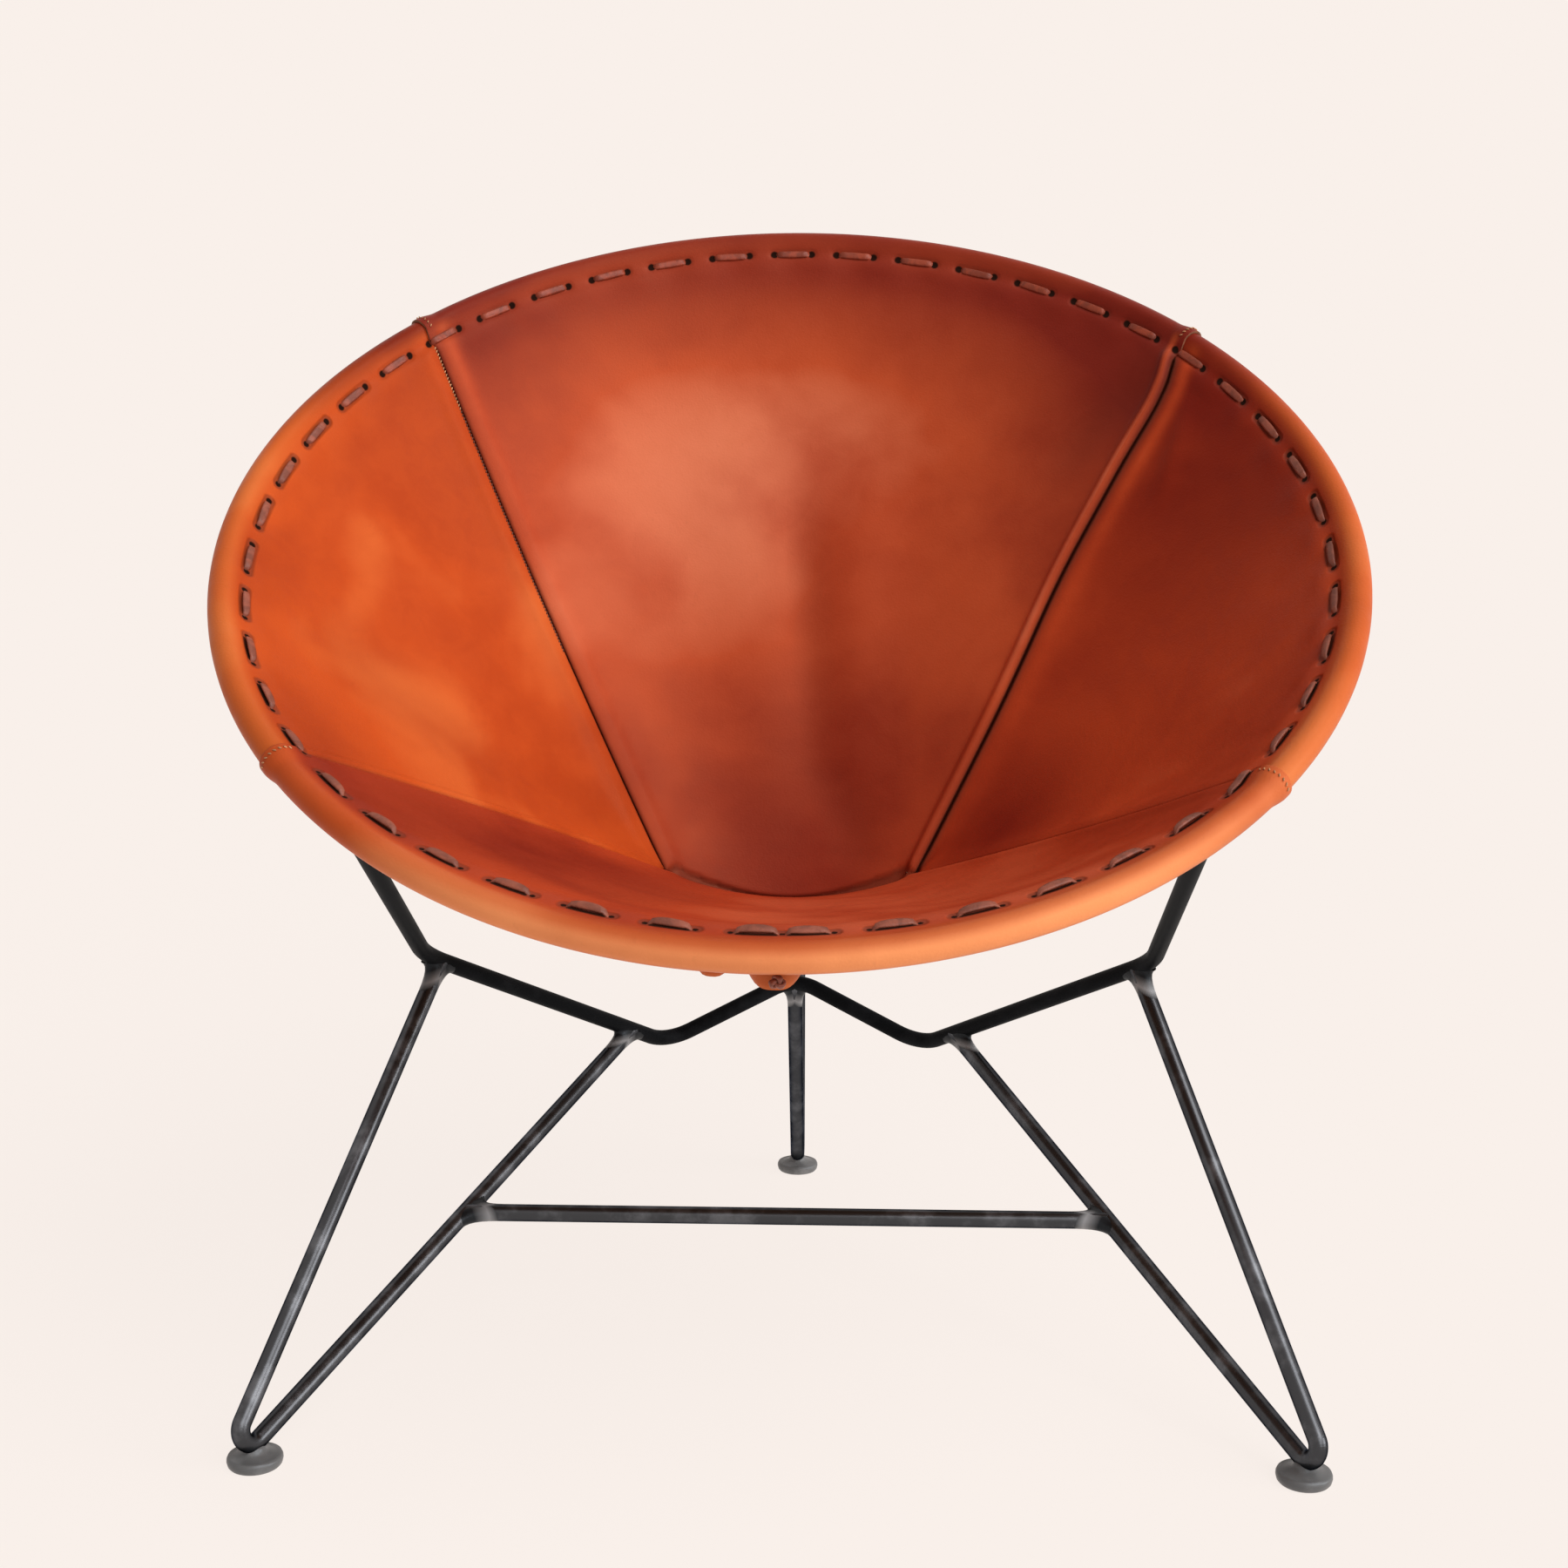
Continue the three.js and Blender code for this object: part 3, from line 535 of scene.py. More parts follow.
def grain_side(name, chair, tan, rim_share):
    """Smooth upper side of the leather, with its lace holes, folds and stretched rim, and light and
    shade painted on it.
    """
    look, lace = chair.look, chair.lace
    material, tree, shader = start_material(name)
    grain = grain_of(tree, *GRAIN_SCALES)
    place = attribute(tree, "sling_place", "Vector")
    # The fold attribute carries painted shade, the other one painted light and shade
    fold, tone = attribute(tree, "fold"), attribute(tree, "patina")
    pitch = lace_pitch(chair)
    holes = use_group(tree, lace_holes, {
        "Place": place, "Dash Share": lace.dash / pitch,
        "Pitch": pitch * (chair.frame.hoop_radius - lace.inset),
        "Radius": lace.hole_radius, "Facing": attribute(tree, "facing")})
    section = take(tree, "ShaderNodeSeparateXYZ", {0: place}, 2)

    base = grain["Cloud"].blend(np.multiply(tan, CLOUD_TINT), tan)
    base = (grain["Mottle"] * 0.24).blend(base, np.multiply(tan, MOTTLE_TINT))
    # The rim's paler tan, partly painted highlight, gives way where the painted shade is deep
    rim = section.spread(*RIM_BAND, 1.0, 0.0) * tone.spread(-1.0, 0.0, 0.1, rim_share, "LINEAR")
    base = rim.blend(base, look.stretched_and_lit_rim_tan)
    # Painted light and shade, with the random clouds, darken or brighten the tan
    painted_tone_and_clouds = tone + (grain["Cloud"] - 0.5) * 0.27
    base = painted_tone_and_clouds.spread(0.0, -1.0, kind="LINEAR").blend(base, look.shade_and_cloud_tone, "MULTIPLY")
    base = painted_tone_and_clouds.spread(0.0, 1.0, kind="LINEAR").blend(base, look.light_and_cloud_tone, "MULTIPLY")
    # Painted shade in the folds, beside the seams and in the tray round each stitch, deepest in the
    # grooves; the scuffs are real wear
    base = fold.at_least(holes["Tray"] * 0.60).blend(base, look.fold_shade_and_scuff)
    base = fold.spread(0.55, 0.95).blend(base, look.groove)
    base = (grain["Scuff"] * 0.05).blend(base, look.fold_shade_and_scuff)
    # Painted shade in the holes and in the shadow slot beside each front stitch
    hole_and_slot_shade = holes["Hole"].at_least(holes["Slit"])
    base = hole_and_slot_shade.blend(base, look.hole)
    roughness = grain["Mottle"] * 0.10 + 0.40 + hole_and_slot_shade * 0.45
    height = grain["Height"] * 0.5 - holes["Tray"] * 2.2
    finish_surface(tree, shader, base, roughness, height, GRAIN_DEPTH,
                   Specular_IOR_Level=0.14, Specular_Tint=look.sheen)
    return material


def plain_leather(name, tan, roughness, relief, pore, rear=None):
    """Leather without lace holes, for the flesh side, cut edges and the thong; rear, when given,
    paints the thong's shaded tan at the back.
    """
    material, tree, shader = start_material(name)
    grain = grain_of(tree, pore, 14.0)
    if rear:
        tan = attribute(tree, "facing").spread(-0.2, -0.7).blend(tan, rear)
    base = (grain["Mottle"] * -0.45 + 0.45).blend(tan, BLACK)
    rough = grain["Cloud"] * 0.08 + roughness
    finish_surface(tree, shader, base, rough, grain["Height"], relief, Specular_IOR_Level=0.3)
    return material


def plain_rays(tree):
    """1 for the rays that show the backdrop itself: seen, mirrored or passed through."""
    rays = add_node(tree, "ShaderNodeLightPath", {}).outputs
    seen, mirrored, passed = (
        Value(tree, rays["Is %s Ray" % kind]) for kind in ("Camera", "Glossy", "Transmission"))
    return seen.at_least(mirrored).at_least(passed)


def coated_steel(name, look, tint, roughness, shine, peel=900.0, bare=None, edge=None):
    """Black coated bar; the colour given as bare paints a pale grey patch where the mesh's
    attribute asks, edge dims a metallic coat's rims.
    """
    material, tree, shader = start_material(name)
    coat = use_group(tree, sprayed_coat, {"Vector": object_place(tree), "Peel": peel})
    base = coat["Rub"].blend(tint, np.multiply(tint, 2.1))
    if bare:
        base = (attribute(tree, "pale_patch") * 0.9).blend(base, bare)
    rough = coat["Rub"] * 0.10 + roughness
    finish_surface(tree, shader, base, rough, coat["Height"], PEEL_DEPTH, IOR=1.75,
                   Specular_IOR_Level=shine, Metallic=1.0 if edge else 0.0,
                   Specular_Tint=edge or look.steel_shine)
    return material


# ---------------------------------------------------------------- mesh helpers


def add_piece(name, mesh, materials, nodes=()):
    """An object for a finished mesh, riding on the chair and standing for its CAD nodes."""
    for material in materials:
        mesh.materials.append(material)
    piece = bpy.data.objects.new(name, mesh)
    bpy.context.scene.collection.objects.link(piece)
    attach(piece, BODY)
    if nodes:
        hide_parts(*nodes)
    return piece


def mesh_from(name, bm):
    """A smooth mesh of a bmesh, which it frees, with its normals outward."""
    bmesh.ops.recalc_face_normals(bm, faces=bm.faces)
    for face in bm.faces:
        face.smooth = True
    mesh = bpy.data.meshes.new(name)
    bm.to_mesh(mesh)
    bm.free()
    return mesh


def ring_after(made):
    """The last ring of vertices and edges of an extrusion or spin."""
    verts = [g for g in made if isinstance(g, bmesh.types.BMVert)]
    kept = set(verts)
    edges = [g for g in made if isinstance(g, bmesh.types.BMEdge)
             and g.verts[0] in kept and g.verts[1] in kept]
    return verts, edges


def close_ring(bm, edges):
    """Caps a ring of edges and keeps its edge sharp."""
    for face in bmesh.ops.contextual_create(bm, geom=edges)["faces"]:
        for edge in face.edges:
            edge.smooth = False


def bar_between(bm, corners, bends, steps, radius):
    """A round bar through the corners, bent at each inner one by extrude and spin."""
    first = (corners[1] - corners[0]).normalized()
    turn = Matrix.Translation(corners[0]) @ first.to_track_quat("Z", "Y").to_matrix().to_4x4()
    made = bmesh.ops.create_circle(bm, segments=BAR_SIDES, radius=radius, matrix=turn)
    verts = made["verts"]
    edges = list({edge for vert in verts for edge in vert.link_edges})
    close_ring(bm, edges)
    here = corners[0]

    def run_to(place, verts, edges, here):
        made = bmesh.ops.extrude_edge_only(bm, edges=edges)["geom"]
        verts, edges = ring_after(made)
        bmesh.ops.translate(bm, verts=verts, vec=place - here)
        return verts, edges, place

    for i, bend in enumerate(bends, start=1):
        back = (corners[i - 1] - corners[i]).normalized()
        onward = (corners[i + 1] - corners[i]).normalized()
        half = back.angle(onward) / 2
        centre = corners[i] + (back + onward).normalized() * (bend / math.sin(half))
        verts, edges, here = run_to(corners[i] + back * (bend / math.tan(half)), verts, edges, here)
        axis = (-back).cross(onward).normalized()
        angle = math.pi - 2 * half
        made = bmesh.ops.spin(bm, geom=verts + edges, cent=centre, axis=axis, angle=angle,
                              steps=steps, use_duplicate=False)["geom_last"]
        verts, edges = ring_after(made)
        here = corners[i] + onward * (bend / math.tan(half))
    verts, edges, here = run_to(corners[-1], verts, edges, here)
    close_ring(bm, edges)


def weld_round(whole, place, main, branch, sizes):
    """A weld fillet round the end of one bar where it meets another, added to the others."""
    radius, reach, ripple = sizes.bar_radius, sizes.weld_reach, sizes.weld_ripple
    main, branch = main.normalized(), branch.normalized()
    side = branch.cross(main).normalized()
    front = side.cross(branch).normalized()
    bm = bmesh.new()
    pale_patch = bm.verts.layers.float.new("pale_patch")
    bmesh.ops.create_cone(bm, cap_ends=False, segments=WELD_SIDES, radius1=radius,
                          radius2=radius, depth=1.0)
    rise = [edge for edge in bm.edges if abs(edge.verts[0].co.z - edge.verts[1].co.z) > 0.5]
    bmesh.ops.subdivide_edges(bm, edges=rise, cuts=WELD_ROWS - 2, use_grid_fill=True)
    for vert in bm.verts:
        around = math.atan2(vert.co.y, vert.co.x)
        share = 0.5 - vert.co.z
        spoke = side * math.cos(around) + front * math.sin(around)
        offset = spoke * radius
        flat = offset - main * offset.dot(main)
        lift = branch - main * branch.dot(main)
        middle, steep = flat.dot(lift), lift.length_squared
        depth = math.sqrt(max(middle ** 2 - steep * (flat.length_squared - radius ** 2), 0))
        meet = place + offset + branch * ((depth - middle) / steep)
        normal = meet - place - main * (meet - place).dot(main)
        normal.normalize()
        away = spoke - branch * WELD_LEAN
        away = (away - normal * away.dot(normal)).normalized()
        foot = meet + away * reach
        out = foot - place - main * (foot - place).dot(main)
        foot = foot - out + out.normalized() * (radius - ripple)
        head = meet + branch * sizes.weld_sleeve - spoke * ripple
        height = sizes.weld_height + math.sin(around * WELD_WAVES) * ripple
        wave = height * 4 * share * (1 - share)
        vert[pale_patch] = max(0, 1 - abs(share - WELD_PALE) / WELD_PALE)
        point = head * (1 - share) ** 2 + meet * 2 * share * (1 - share) + foot * share ** 2
        vert.co = point + (normal + spoke).normalized() * wave
    one = bpy.data.meshes.new("weld")
    bm.to_mesh(one)
    bm.free()
    whole.from_mesh(one)
    bpy.data.meshes.remove(one)


def grid_mesh(name, places, closed=False):
    """A grid whose vertices are moved to places[i, j]; closed joins it round j and caps it."""
    count_i, count_j = places.shape[:2]
    bm = bmesh.new()
    bmesh.ops.create_grid(bm, x_segments=count_i - 1, y_segments=count_j - 1, size=1.0)
    cells = np.empty(len(bm.verts), dtype=np.int64)
    for index, vert in enumerate(bm.verts):
        i = round((vert.co.x + 1) / 2 * (count_i - 1))
        j = round((vert.co.y + 1) / 2 * (count_j - 1))
        cells[index] = i * count_j + j
    flat = places.reshape(-1, 3)
    for index, vert in enumerate(bm.verts):
        vert.co = flat[cells[index]]
    if closed:
        bmesh.ops.remove_doubles(bm, verts=bm.verts, dist=WELD_DISTANCE)
        rims = [edge for edge in bm.edges if edge.is_boundary]
        bmesh.ops.holes_fill(bm, edges=rims)
        bmesh.ops.recalc_face_normals(bm, faces=bm.faces)
    for face in bm.faces:
        face.smooth = True
    mesh = bpy.data.meshes.new(name)
    bm.to_mesh(mesh)
    bm.free()
    return mesh, cells


# ---------------------------------------------------------------- frame places


def frame_places(chair):
    """Corners of every bar, in the frame's coordinates."""
    sizes = chair.frame
    base = Vector((HOOP_MIDDLE[0], HOOP_MIDDLE[1], 0.0))
    middle = Vector(HOOP_MIDDLE)
    back = Vector((0, math.cos(sizes.lean), math.sin(sizes.lean)))

    def on_hoop(angle):
        side = Vector((sizes.hoop_radius * math.sin(angle), 0, 0))
        return middle + side - back * (sizes.hoop_radius * math.cos(angle))

    def other(point):
        return Vector((2 * base.x - point.x, point.y, point.z))

    knee, heel, crown = (base + Vector(v) for v in (sizes.knee, sizes.heel, sizes.crown))
    front_foot, rear_foot = base + Vector(sizes.front_foot), base + Vector(sizes.rear_foot)
    return SimpleNamespace(
        on_hoop=on_hoop, other=other, knee=knee, heel=heel, crown=crown,
        post_top=on_hoop(sizes.post_angle), front_foot=front_foot, rear_foot=rear_foot,
        outer=knee.lerp(heel, sizes.outer_seat), inner=knee.lerp(heel, sizes.inner_seat),
        hoop_seat=on_hoop(math.pi))


def hairpin_corner(foot, seat_a, seat_b, radius):
    """Corner of a hairpin whose lowest point stands over the foot."""
    corner = foot.copy()
    for _ in range(HAIRPIN_PASSES):
        to_a, to_b = (seat_a - corner).normalized(), (seat_b - corner).normalized()
        middle = (to_a + to_b).normalized()
        across = to_a.cross(to_b).normalized()
        rise = (Vector((0, 0, 1)) - across * across.z).normalized()
        corner = foot + rise * radius - middle * (radius / math.sin(to_a.angle(middle)))
    return corner


def crown_seat(places, sizes):
    """Where the bent cradle passes over the middle."""
    to_heel = (places.heel - places.crown).normalized()
    to_other = (places.other(places.heel) - places.crown).normalized()
    half = to_heel.angle(to_other) / 2
    bend = sizes.bend_radius
    return places.crown + (to_heel + to_other).normalized() * (bend / math.sin(half) - bend)


# ---------------------------------------------------------------- sling places


def sling_values(chair):
    """The sling's sizes and its four panels as plain numbers."""
    sling, sizes = chair.sling, chair.frame
    left = np.array([-sling.crease_half_width, sling.crease_offset])
    right = np.array([sling.crease_half_width, sling.crease_offset])
    front, rear, full = sling.front_seam, sling.back_seam, 2 * math.pi
    # Panel: angles of its two seams, places of their low ends, and whether it ends in a point
    panels = {
        "seat": (-front, front, left, right, False),
        "right": (front, rear, right, right, True),
        "back": (rear, full - rear, right, left, False),
        "left": (full - rear, full - front, left, left, True),
    }
    hem_above = -(2 * sling.leather + sling.valley)
    neck = math.acos((sling.wrap_radius + hem_above) / sling.wrap_radius)
    return SimpleNamespace(
        hoop=sizes.hoop_radius, wrap=sling.wrap_radius, depth=sling.pocket_depth,
        crease_sag=sling.crease_sag, front_sag=sling.front_sag, back_sag=sling.back_sag,
        twist=sling.twist, hem=sling.hem_length, turn=sling.turn, hem_above=hem_above,
        neck_along=sling.wrap_radius * math.sin(neck),
        sleeve=sling.wrap_radius * (2 * math.pi - neck), inset=chair.lace.inset,
        back=np.array([0, math.cos(sizes.lean), math.sin(sizes.lean)]),
        up=np.array([0, -math.sin(sizes.lean), math.cos(sizes.lean)]),
        panels={name: SimpleNamespace(name=name, start=start, stop=stop, low=low, high=high,
                                      gusset=gusset)
                for name, (start, stop, low, high, gusset) in panels.items()})


def to_space(values, plan, height):
    """Points of the frame from their plan in the hoop's plane and their height over it."""
    point = HOOP_MIDDLE + plan[..., 1:2] * values.back + height[..., None] * values.up
    point = point.copy()
    point[..., 0] += plan[..., 0]
    return point


# Places where the hem hangs loose: angle, half width (degrees), droop (degrees), extra length
HEM_TABS = (
    (0.10, 2.8, 84, 0.0175),
    (-5.3, 1.9, 74, 0.0090),
    (52.0, 2.6, 60, 0.0030),
)


def hem_shape(angle):
    """How far the free edge of the hem droops (radians) and grows (metres) at an angle."""
    degrees = np.degrees(np.mod(angle + math.pi, 2 * math.pi) - math.pi)
    droop = np.radians(7 + 5 * np.sin(degrees / 3.1) + 3 * np.sin(degrees / 1.3 + 1))
    grow = 0.0006 * np.sin(degrees / 2.3)
    for centre, width, tilt, more in HEM_TABS:
        tab = np.exp(-np.abs((degrees - centre) / width) ** 3)
        droop = droop + (math.radians(tilt) - droop) * tab
        grow = grow + more * tab
    return droop, grow


def sling_place(values, panel, share, section):
    """Point of the plain sling; section runs from the hem round the sleeve to the crease."""
    angle = panel.start + (panel.stop - panel.start) * share + values.turn
    rim = values.hoop * np.stack([np.sin(angle), -np.cos(angle)], axis=-1)
    inward = np.stack([-np.sin(angle), np.cos(angle)], axis=-1)
    crease = panel.low + (panel.high - panel.low) * share[..., None]
    low_sag = 0.0 if panel.gusset else values.crease_sag
    depth = values.depth + low_sag * 4 * share * (1 - share)
    sag = values.front_sag + (values.back_sag - values.front_sag) * (1 - np.cos(angle)) / 2
    sag = sag + values.twist * np.sin(2 * angle)
    run = np.linalg.norm(crease - rim, axis=-1)
    slope = np.full(run.shape, math.pi / 4)
    for _ in range(SLOPE_PASSES):
        drop = depth + values.wrap * np.cos(slope) + 4 * sag
        slope = np.arctan2(drop, run - values.wrap * np.sin(slope))
    lift = rim + inward * (values.wrap * np.sin(slope))[..., None]
    reach = np.linalg.norm(crease - lift, axis=-1)
    share_down = section * np.cos(slope) / reach
    pocket_plan = lift + (crease - lift) * share_down[..., None]
    top = values.wrap * np.cos(slope)
    pocket_height = top - (depth + top) * share_down - 4 * sag * share_down * (1 - share_down)

    turn = slope + section / values.wrap
    sleeve_plan = rim + inward * (values.wrap * np.sin(turn))[..., None]
    sleeve_height = values.wrap * np.cos(turn)

    droop, grow = hem_shape(angle)
    past = -values.sleeve - section
    along = values.neck_along + past * (1 + grow / values.hem)
    free = np.maximum(along - values.inset, 0)
    tangent = np.minimum(along, values.inset) + free * np.cos(droop)
    normal = values.wrap + values.hem_above - free * np.sin(droop)
    step = normal * np.sin(slope) + tangent * np.cos(slope)
    hem_plan = rim + inward * step[..., None]
    hem_height = normal * np.cos(slope) - tangent * np.sin(slope)

    in_pocket = section >= 0
    in_hem = section < -values.sleeve
    plan = np.where(in_pocket[..., None], pocket_plan,
                    np.where(in_hem[..., None], hem_plan, sleeve_plan))
    height = np.where(in_pocket, pocket_height, np.where(in_hem, hem_height, sleeve_height))
    return to_space(values, plan, height), angle, reach / np.cos(slope)


def unit(vectors):
    """Vectors scaled to a length of 1."""
    return vectors / np.maximum(np.linalg.norm(vectors, axis=-1, keepdims=True), 1e-12)


def sling_axes(values, panel, share, section):
    """Directions of the plain sling: along the hoop and out of its upper side."""
    here = sling_place(values, panel, share - SHARE_STEP, section)[0]
    there = sling_place(values, panel, share + SHARE_STEP, section)[0]
    down = sling_place(values, panel, share, section + SECTION_STEP)[0]
    up = sling_place(values, panel, share, section - SECTION_STEP)[0]
    across = unit(there - here)
    return across, unit(np.cross(across, unit(down - up)))


def rising(value, low, high):
    """Eased rise from 0 to 1 between two values."""
    share = np.clip((value - low) / (high - low), 0, 1)
    return share * share * (3 - 2 * share)


def bell(distance, width):
    """1 where the distance is 0, fading out over the width."""
    return np.exp(-(distance / width) ** 2)


def facing_front(angle, low=0.0, high=0.55):
    """Share by which an angle lies at the front of the hoop."""
    return rising(np.cos(angle), low, high)


def facing_back(angle, low=0.2, high=0.7):
    """Share by which an angle lies at the back of the hoop."""
    return rising(-np.cos(angle), low, high)


def lace_pitch(chair):
    """Angle from one stitch to the next."""
    lace = chair.lace
    return (2 * math.pi - lace.dash) / (lace.stitches - 1)


def stitch_count(chair, angle):
    """Stitches from the first hole to an angle, the same way round on both sides."""
    return np.abs(angle - chair.lace.start) / lace_pitch(chair)


def lace_distance(values, section):
    """Distance from the lace line, along the pocket or along the hem."""
    on_hem = values.neck_along + (-values.sleeve - section) - values.inset
    on_pocket = section - values.inset
    on_sleeve = -values.inset + values.neck_along * np.clip(-section / values.sleeve, 0, 1)
    return np.where(section >= 0, on_pocket, np.where(section < -values.sleeve, on_hem, on_sleeve))


# Relief beside the lace, as sections in metres from where the leather leaves the sleeve: its
# start, the rise and fall of the lift behind the front of the hoop, and the stretched ring
# past the stitches (place, half width, height and the change of height from hole to hole)
RELIEF_START = -0.006
LIFT_RISE = (-0.004, 0.028)
LIFT_FALL = (0.028, 0.11)
DIMPLE_WIDTH = 0.0035
RING = SimpleNamespace(place=0.024, width=0.009, height=0.0003, pucker=0.0006)


def relief(chair, values, angle, section):
    """Height of the upper side over the plain sling: the laced valley and its dimples."""
    sling = chair.sling
    pitch = lace_pitch(chair)
    dash, count = chair.lace.dash / pitch, stitch_count(chair, angle)
    pucker = np.cos(2 * math.pi * (count - dash / 2))
    valley = sling.valley * bell(section - values.inset + 0.001, sling.valley_width)
    height = -valley * (0.72 + 0.28 * pucker) * (1 - 0.95 * facing_front(angle))
    lift = sling.front_lift * facing_front(angle, 0.55, 0.98)
    height = height + lift * rising(section, *LIFT_RISE) * (1 - rising(section, *LIFT_FALL))
    for hole in (0.0, dash):
        gap = np.abs(np.mod(count - hole + 0.5, 1) - 0.5) * pitch * values.hoop
        away = np.hypot(gap, section - values.inset)
        height = height - sling.dimple * bell(away, DIMPLE_WIDTH)
    ring = bell(section - RING.place, RING.width)
    height = height + (RING.height - RING.pucker * pucker) * ring
    return np.where(section > RELIEF_START, height, 0.0)


# ---------------------------------------------------------------- sling panels

# Distance from the seam and height of the edge where it rolls down, in metres; the first
# ROLL_EDGE of them turn into the seam
ROLL = (
    (0.0, -0.0090), (0.0, -0.0055), (0.0, -0.0032), (0.0003, -0.0018), (0.0009, -0.0009),
    (0.0020, -0.0002), (0.0035, 0.0), (0.0055, 0.0), (0.0080, 0.0), (0.0110, 0.0),
)
ROLL_EDGE = 5

# Distances of the rows before the crease, and the depths to which the last rows roll down
ROLL_ROWS = (0.014, 0.010, 0.007, 0.0045, 0.0028, 0.0015, 0.0006, 0.0001)
ROLL_DEPTHS = (-0.0032, -0.0055, -0.0085)
ROLL_RADIUS = 0.0032
ROLL_SPAN = 0.0035

# Width of the band of fine rows beside the sleeve, and where the seams open below it
NEAR_BAND = 0.030
SEAMS_OPEN = (0.009, 0.024)

# Distance over which a lapped edge rises on the sleeve
LAP_RISE = (0.001, 0.016)

# Soft folds: panel, share and depth share of both ends, half width and height
FOLDS = (
    ("back", (0.50, 0.40), (0.43, 0.86), 0.024, -0.0042),
    ("back", (0.40, 0.36), (0.36, 0.84), 0.026, 0.0030),
    ("back", (0.40, 0.80), (0.24, 0.97), 0.018, -0.0030),
    ("back", (0.62, 0.28), (0.58, 0.92), 0.040, 0.0040),
    ("back", (0.02, 0.05), (0.10, 0.30), 0.020, -0.0030),
    ("right", (0.96, 0.04), (0.88, 0.24), 0.010, 0.0022),
    ("left", (0.30, 0.10), (0.34, 0.62), 0.045, 0.0045),
    ("left", (0.62, 0.18), (0.70, 0.60), 0.040, -0.0030),
    ("seat", (0.30, 0.20), (0.36, 0.70), 0.035, -0.0025),
    ("seat", (0.62, 0.30), (0.60, 0.80), 0.035, 0.0022),
)

# Painted light and shade: panel, share and depth share of a soft lit or shaded patch, its reach in
# both, and its tone; at the low end of the back it is painted shade and staining together
PAINTED_PATCHES = (
    ("back", 0.62, 0.35, 0.26, 0.22, 0.36),
    ("back", 0.50, 0.04, 0.70, 0.14, -0.88),
    ("back", 0.04, 0.10, 0.20, 0.30, -0.60),
    ("back", 0.45, 0.98, 0.70, 0.28, -0.72),
    ("back", 0.30, 0.62, 0.16, 0.20, -0.25),
    ("left", 0.50, 0.45, 0.35, 0.30, 0.08),
    ("left", 0.95, 0.16, 0.22, 0.14, -0.38),
    ("left", 0.50, 0.98, 0.90, 0.18, -0.30),
    ("right", 0.85, 0.12, 0.34, 0.30, -0.85),
    ("right", 0.30, 0.78, 0.60, 0.25, -1.00),
    ("right", 0.50, 0.35, 0.28, 0.25, 0.22),
    ("seat", 0.50, 0.50, 0.26, 0.60, 0.28),
    ("seat", 0.20, 0.50, 0.20, 0.50, -0.85),
    ("seat", 0.05, 0.20, 0.14, 0.30, -0.45),
)

# Swell of the leather: features per metre and height, in metres
SWELL = ((5.0, 0.0030), (17.0, 0.0007))

# Height of a lapped edge, as a share of the leather's thickness
LAP_SHARE = 0.7

PANEL_NODES = {"seat": "seat_panel", "right": "side_panel_right", "back": "back_panel",
               "left": "side_panel_left"}

# Half the length of a fold over which it keeps its height, and where folds begin below the rim
FOLD_REACH = 0.52
FOLD_TOP = (0.03, 0.07)

# Distances from the sides, the rim and the low end over which the swell rises, in metres
SWELL_SIDES = (0.006, 0.05)
SWELL_TOP = (0.03, 0.08)
SWELL_LOW = (0.002, 0.05)

# Right rear seam: depth share and reach where it swings out and back, how far beside it the
# leather follows, and where below the rim that begins
BOWS = ((0.11, 0.09), (0.45, 0.16))
BOW_REACH = 0.05
BOW_RISE = (0.012, 0.04)

# Shade per metre of depth and its most, in the folds and in the rolled edges
FOLD_SHADE = (60, 0.4)
DROP_SHADE = (260, 0.6)

# Sections of the sleeve, in metres, and how bright the painted light on the front of the hoop is
# there
RIM_LIGHT = ((-0.031, -0.025, -0.016, -0.010, 0.0), (0.40, 1.0, 1.0, 0.35, 0.0))

# Welted seams: panel and side, height, distance from the seam and half width
WELTS = {
    ("back", "low"): (0.0046, 0.0062, 0.0046),
    ("back", "high"): (0.0022, 0.0110, 0.0080),
    ("seat", "low"): (0.0016, 0.0100, 0.0080),
    ("seat", "high"): (0.0018, 0.0080, 0.0070),
    ("left", "low"): (0.0020, 0.0100, 0.0070),
    ("left", "high"): (0.0018, 0.0050, 0.0040),
    ("right", "low"): (0.0008, 0.0100, 0.0080),
    ("right", "high"): (0.0008, 0.0140, 0.0090),
}

# Panels narrower than this have lower pillows beside their seams, in metres
FULL_WELT = 0.090

# Painted highlights on the ridges beside the seams: panel and side, distance, half width and tone
RIDGE_HIGHLIGHTS = {
    ("back", "low"): (0.0066, 0.0040, 0.30),
    ("back", "high"): (0.0120, 0.0080, 0.10),
    ("left", "low"): (0.0120, 0.0080, 0.12),
    ("right", "high"): (0.0140, 0.0070, 0.05),
}

# Shade in the grooves beside the seams: panel and side, width and strength
GROOVES = {
    ("right", "high"): (0.0058, 1.00),
    ("back", "low"): (0.0012, 0.60),
    ("back", "high"): (0.0030, 0.45),
    ("left", "low"): (0.0016, 0.30),
    ("seat", "high"): (0.0026, 0.70),
    ("seat", "low"): (0.0014, 0.50),
}


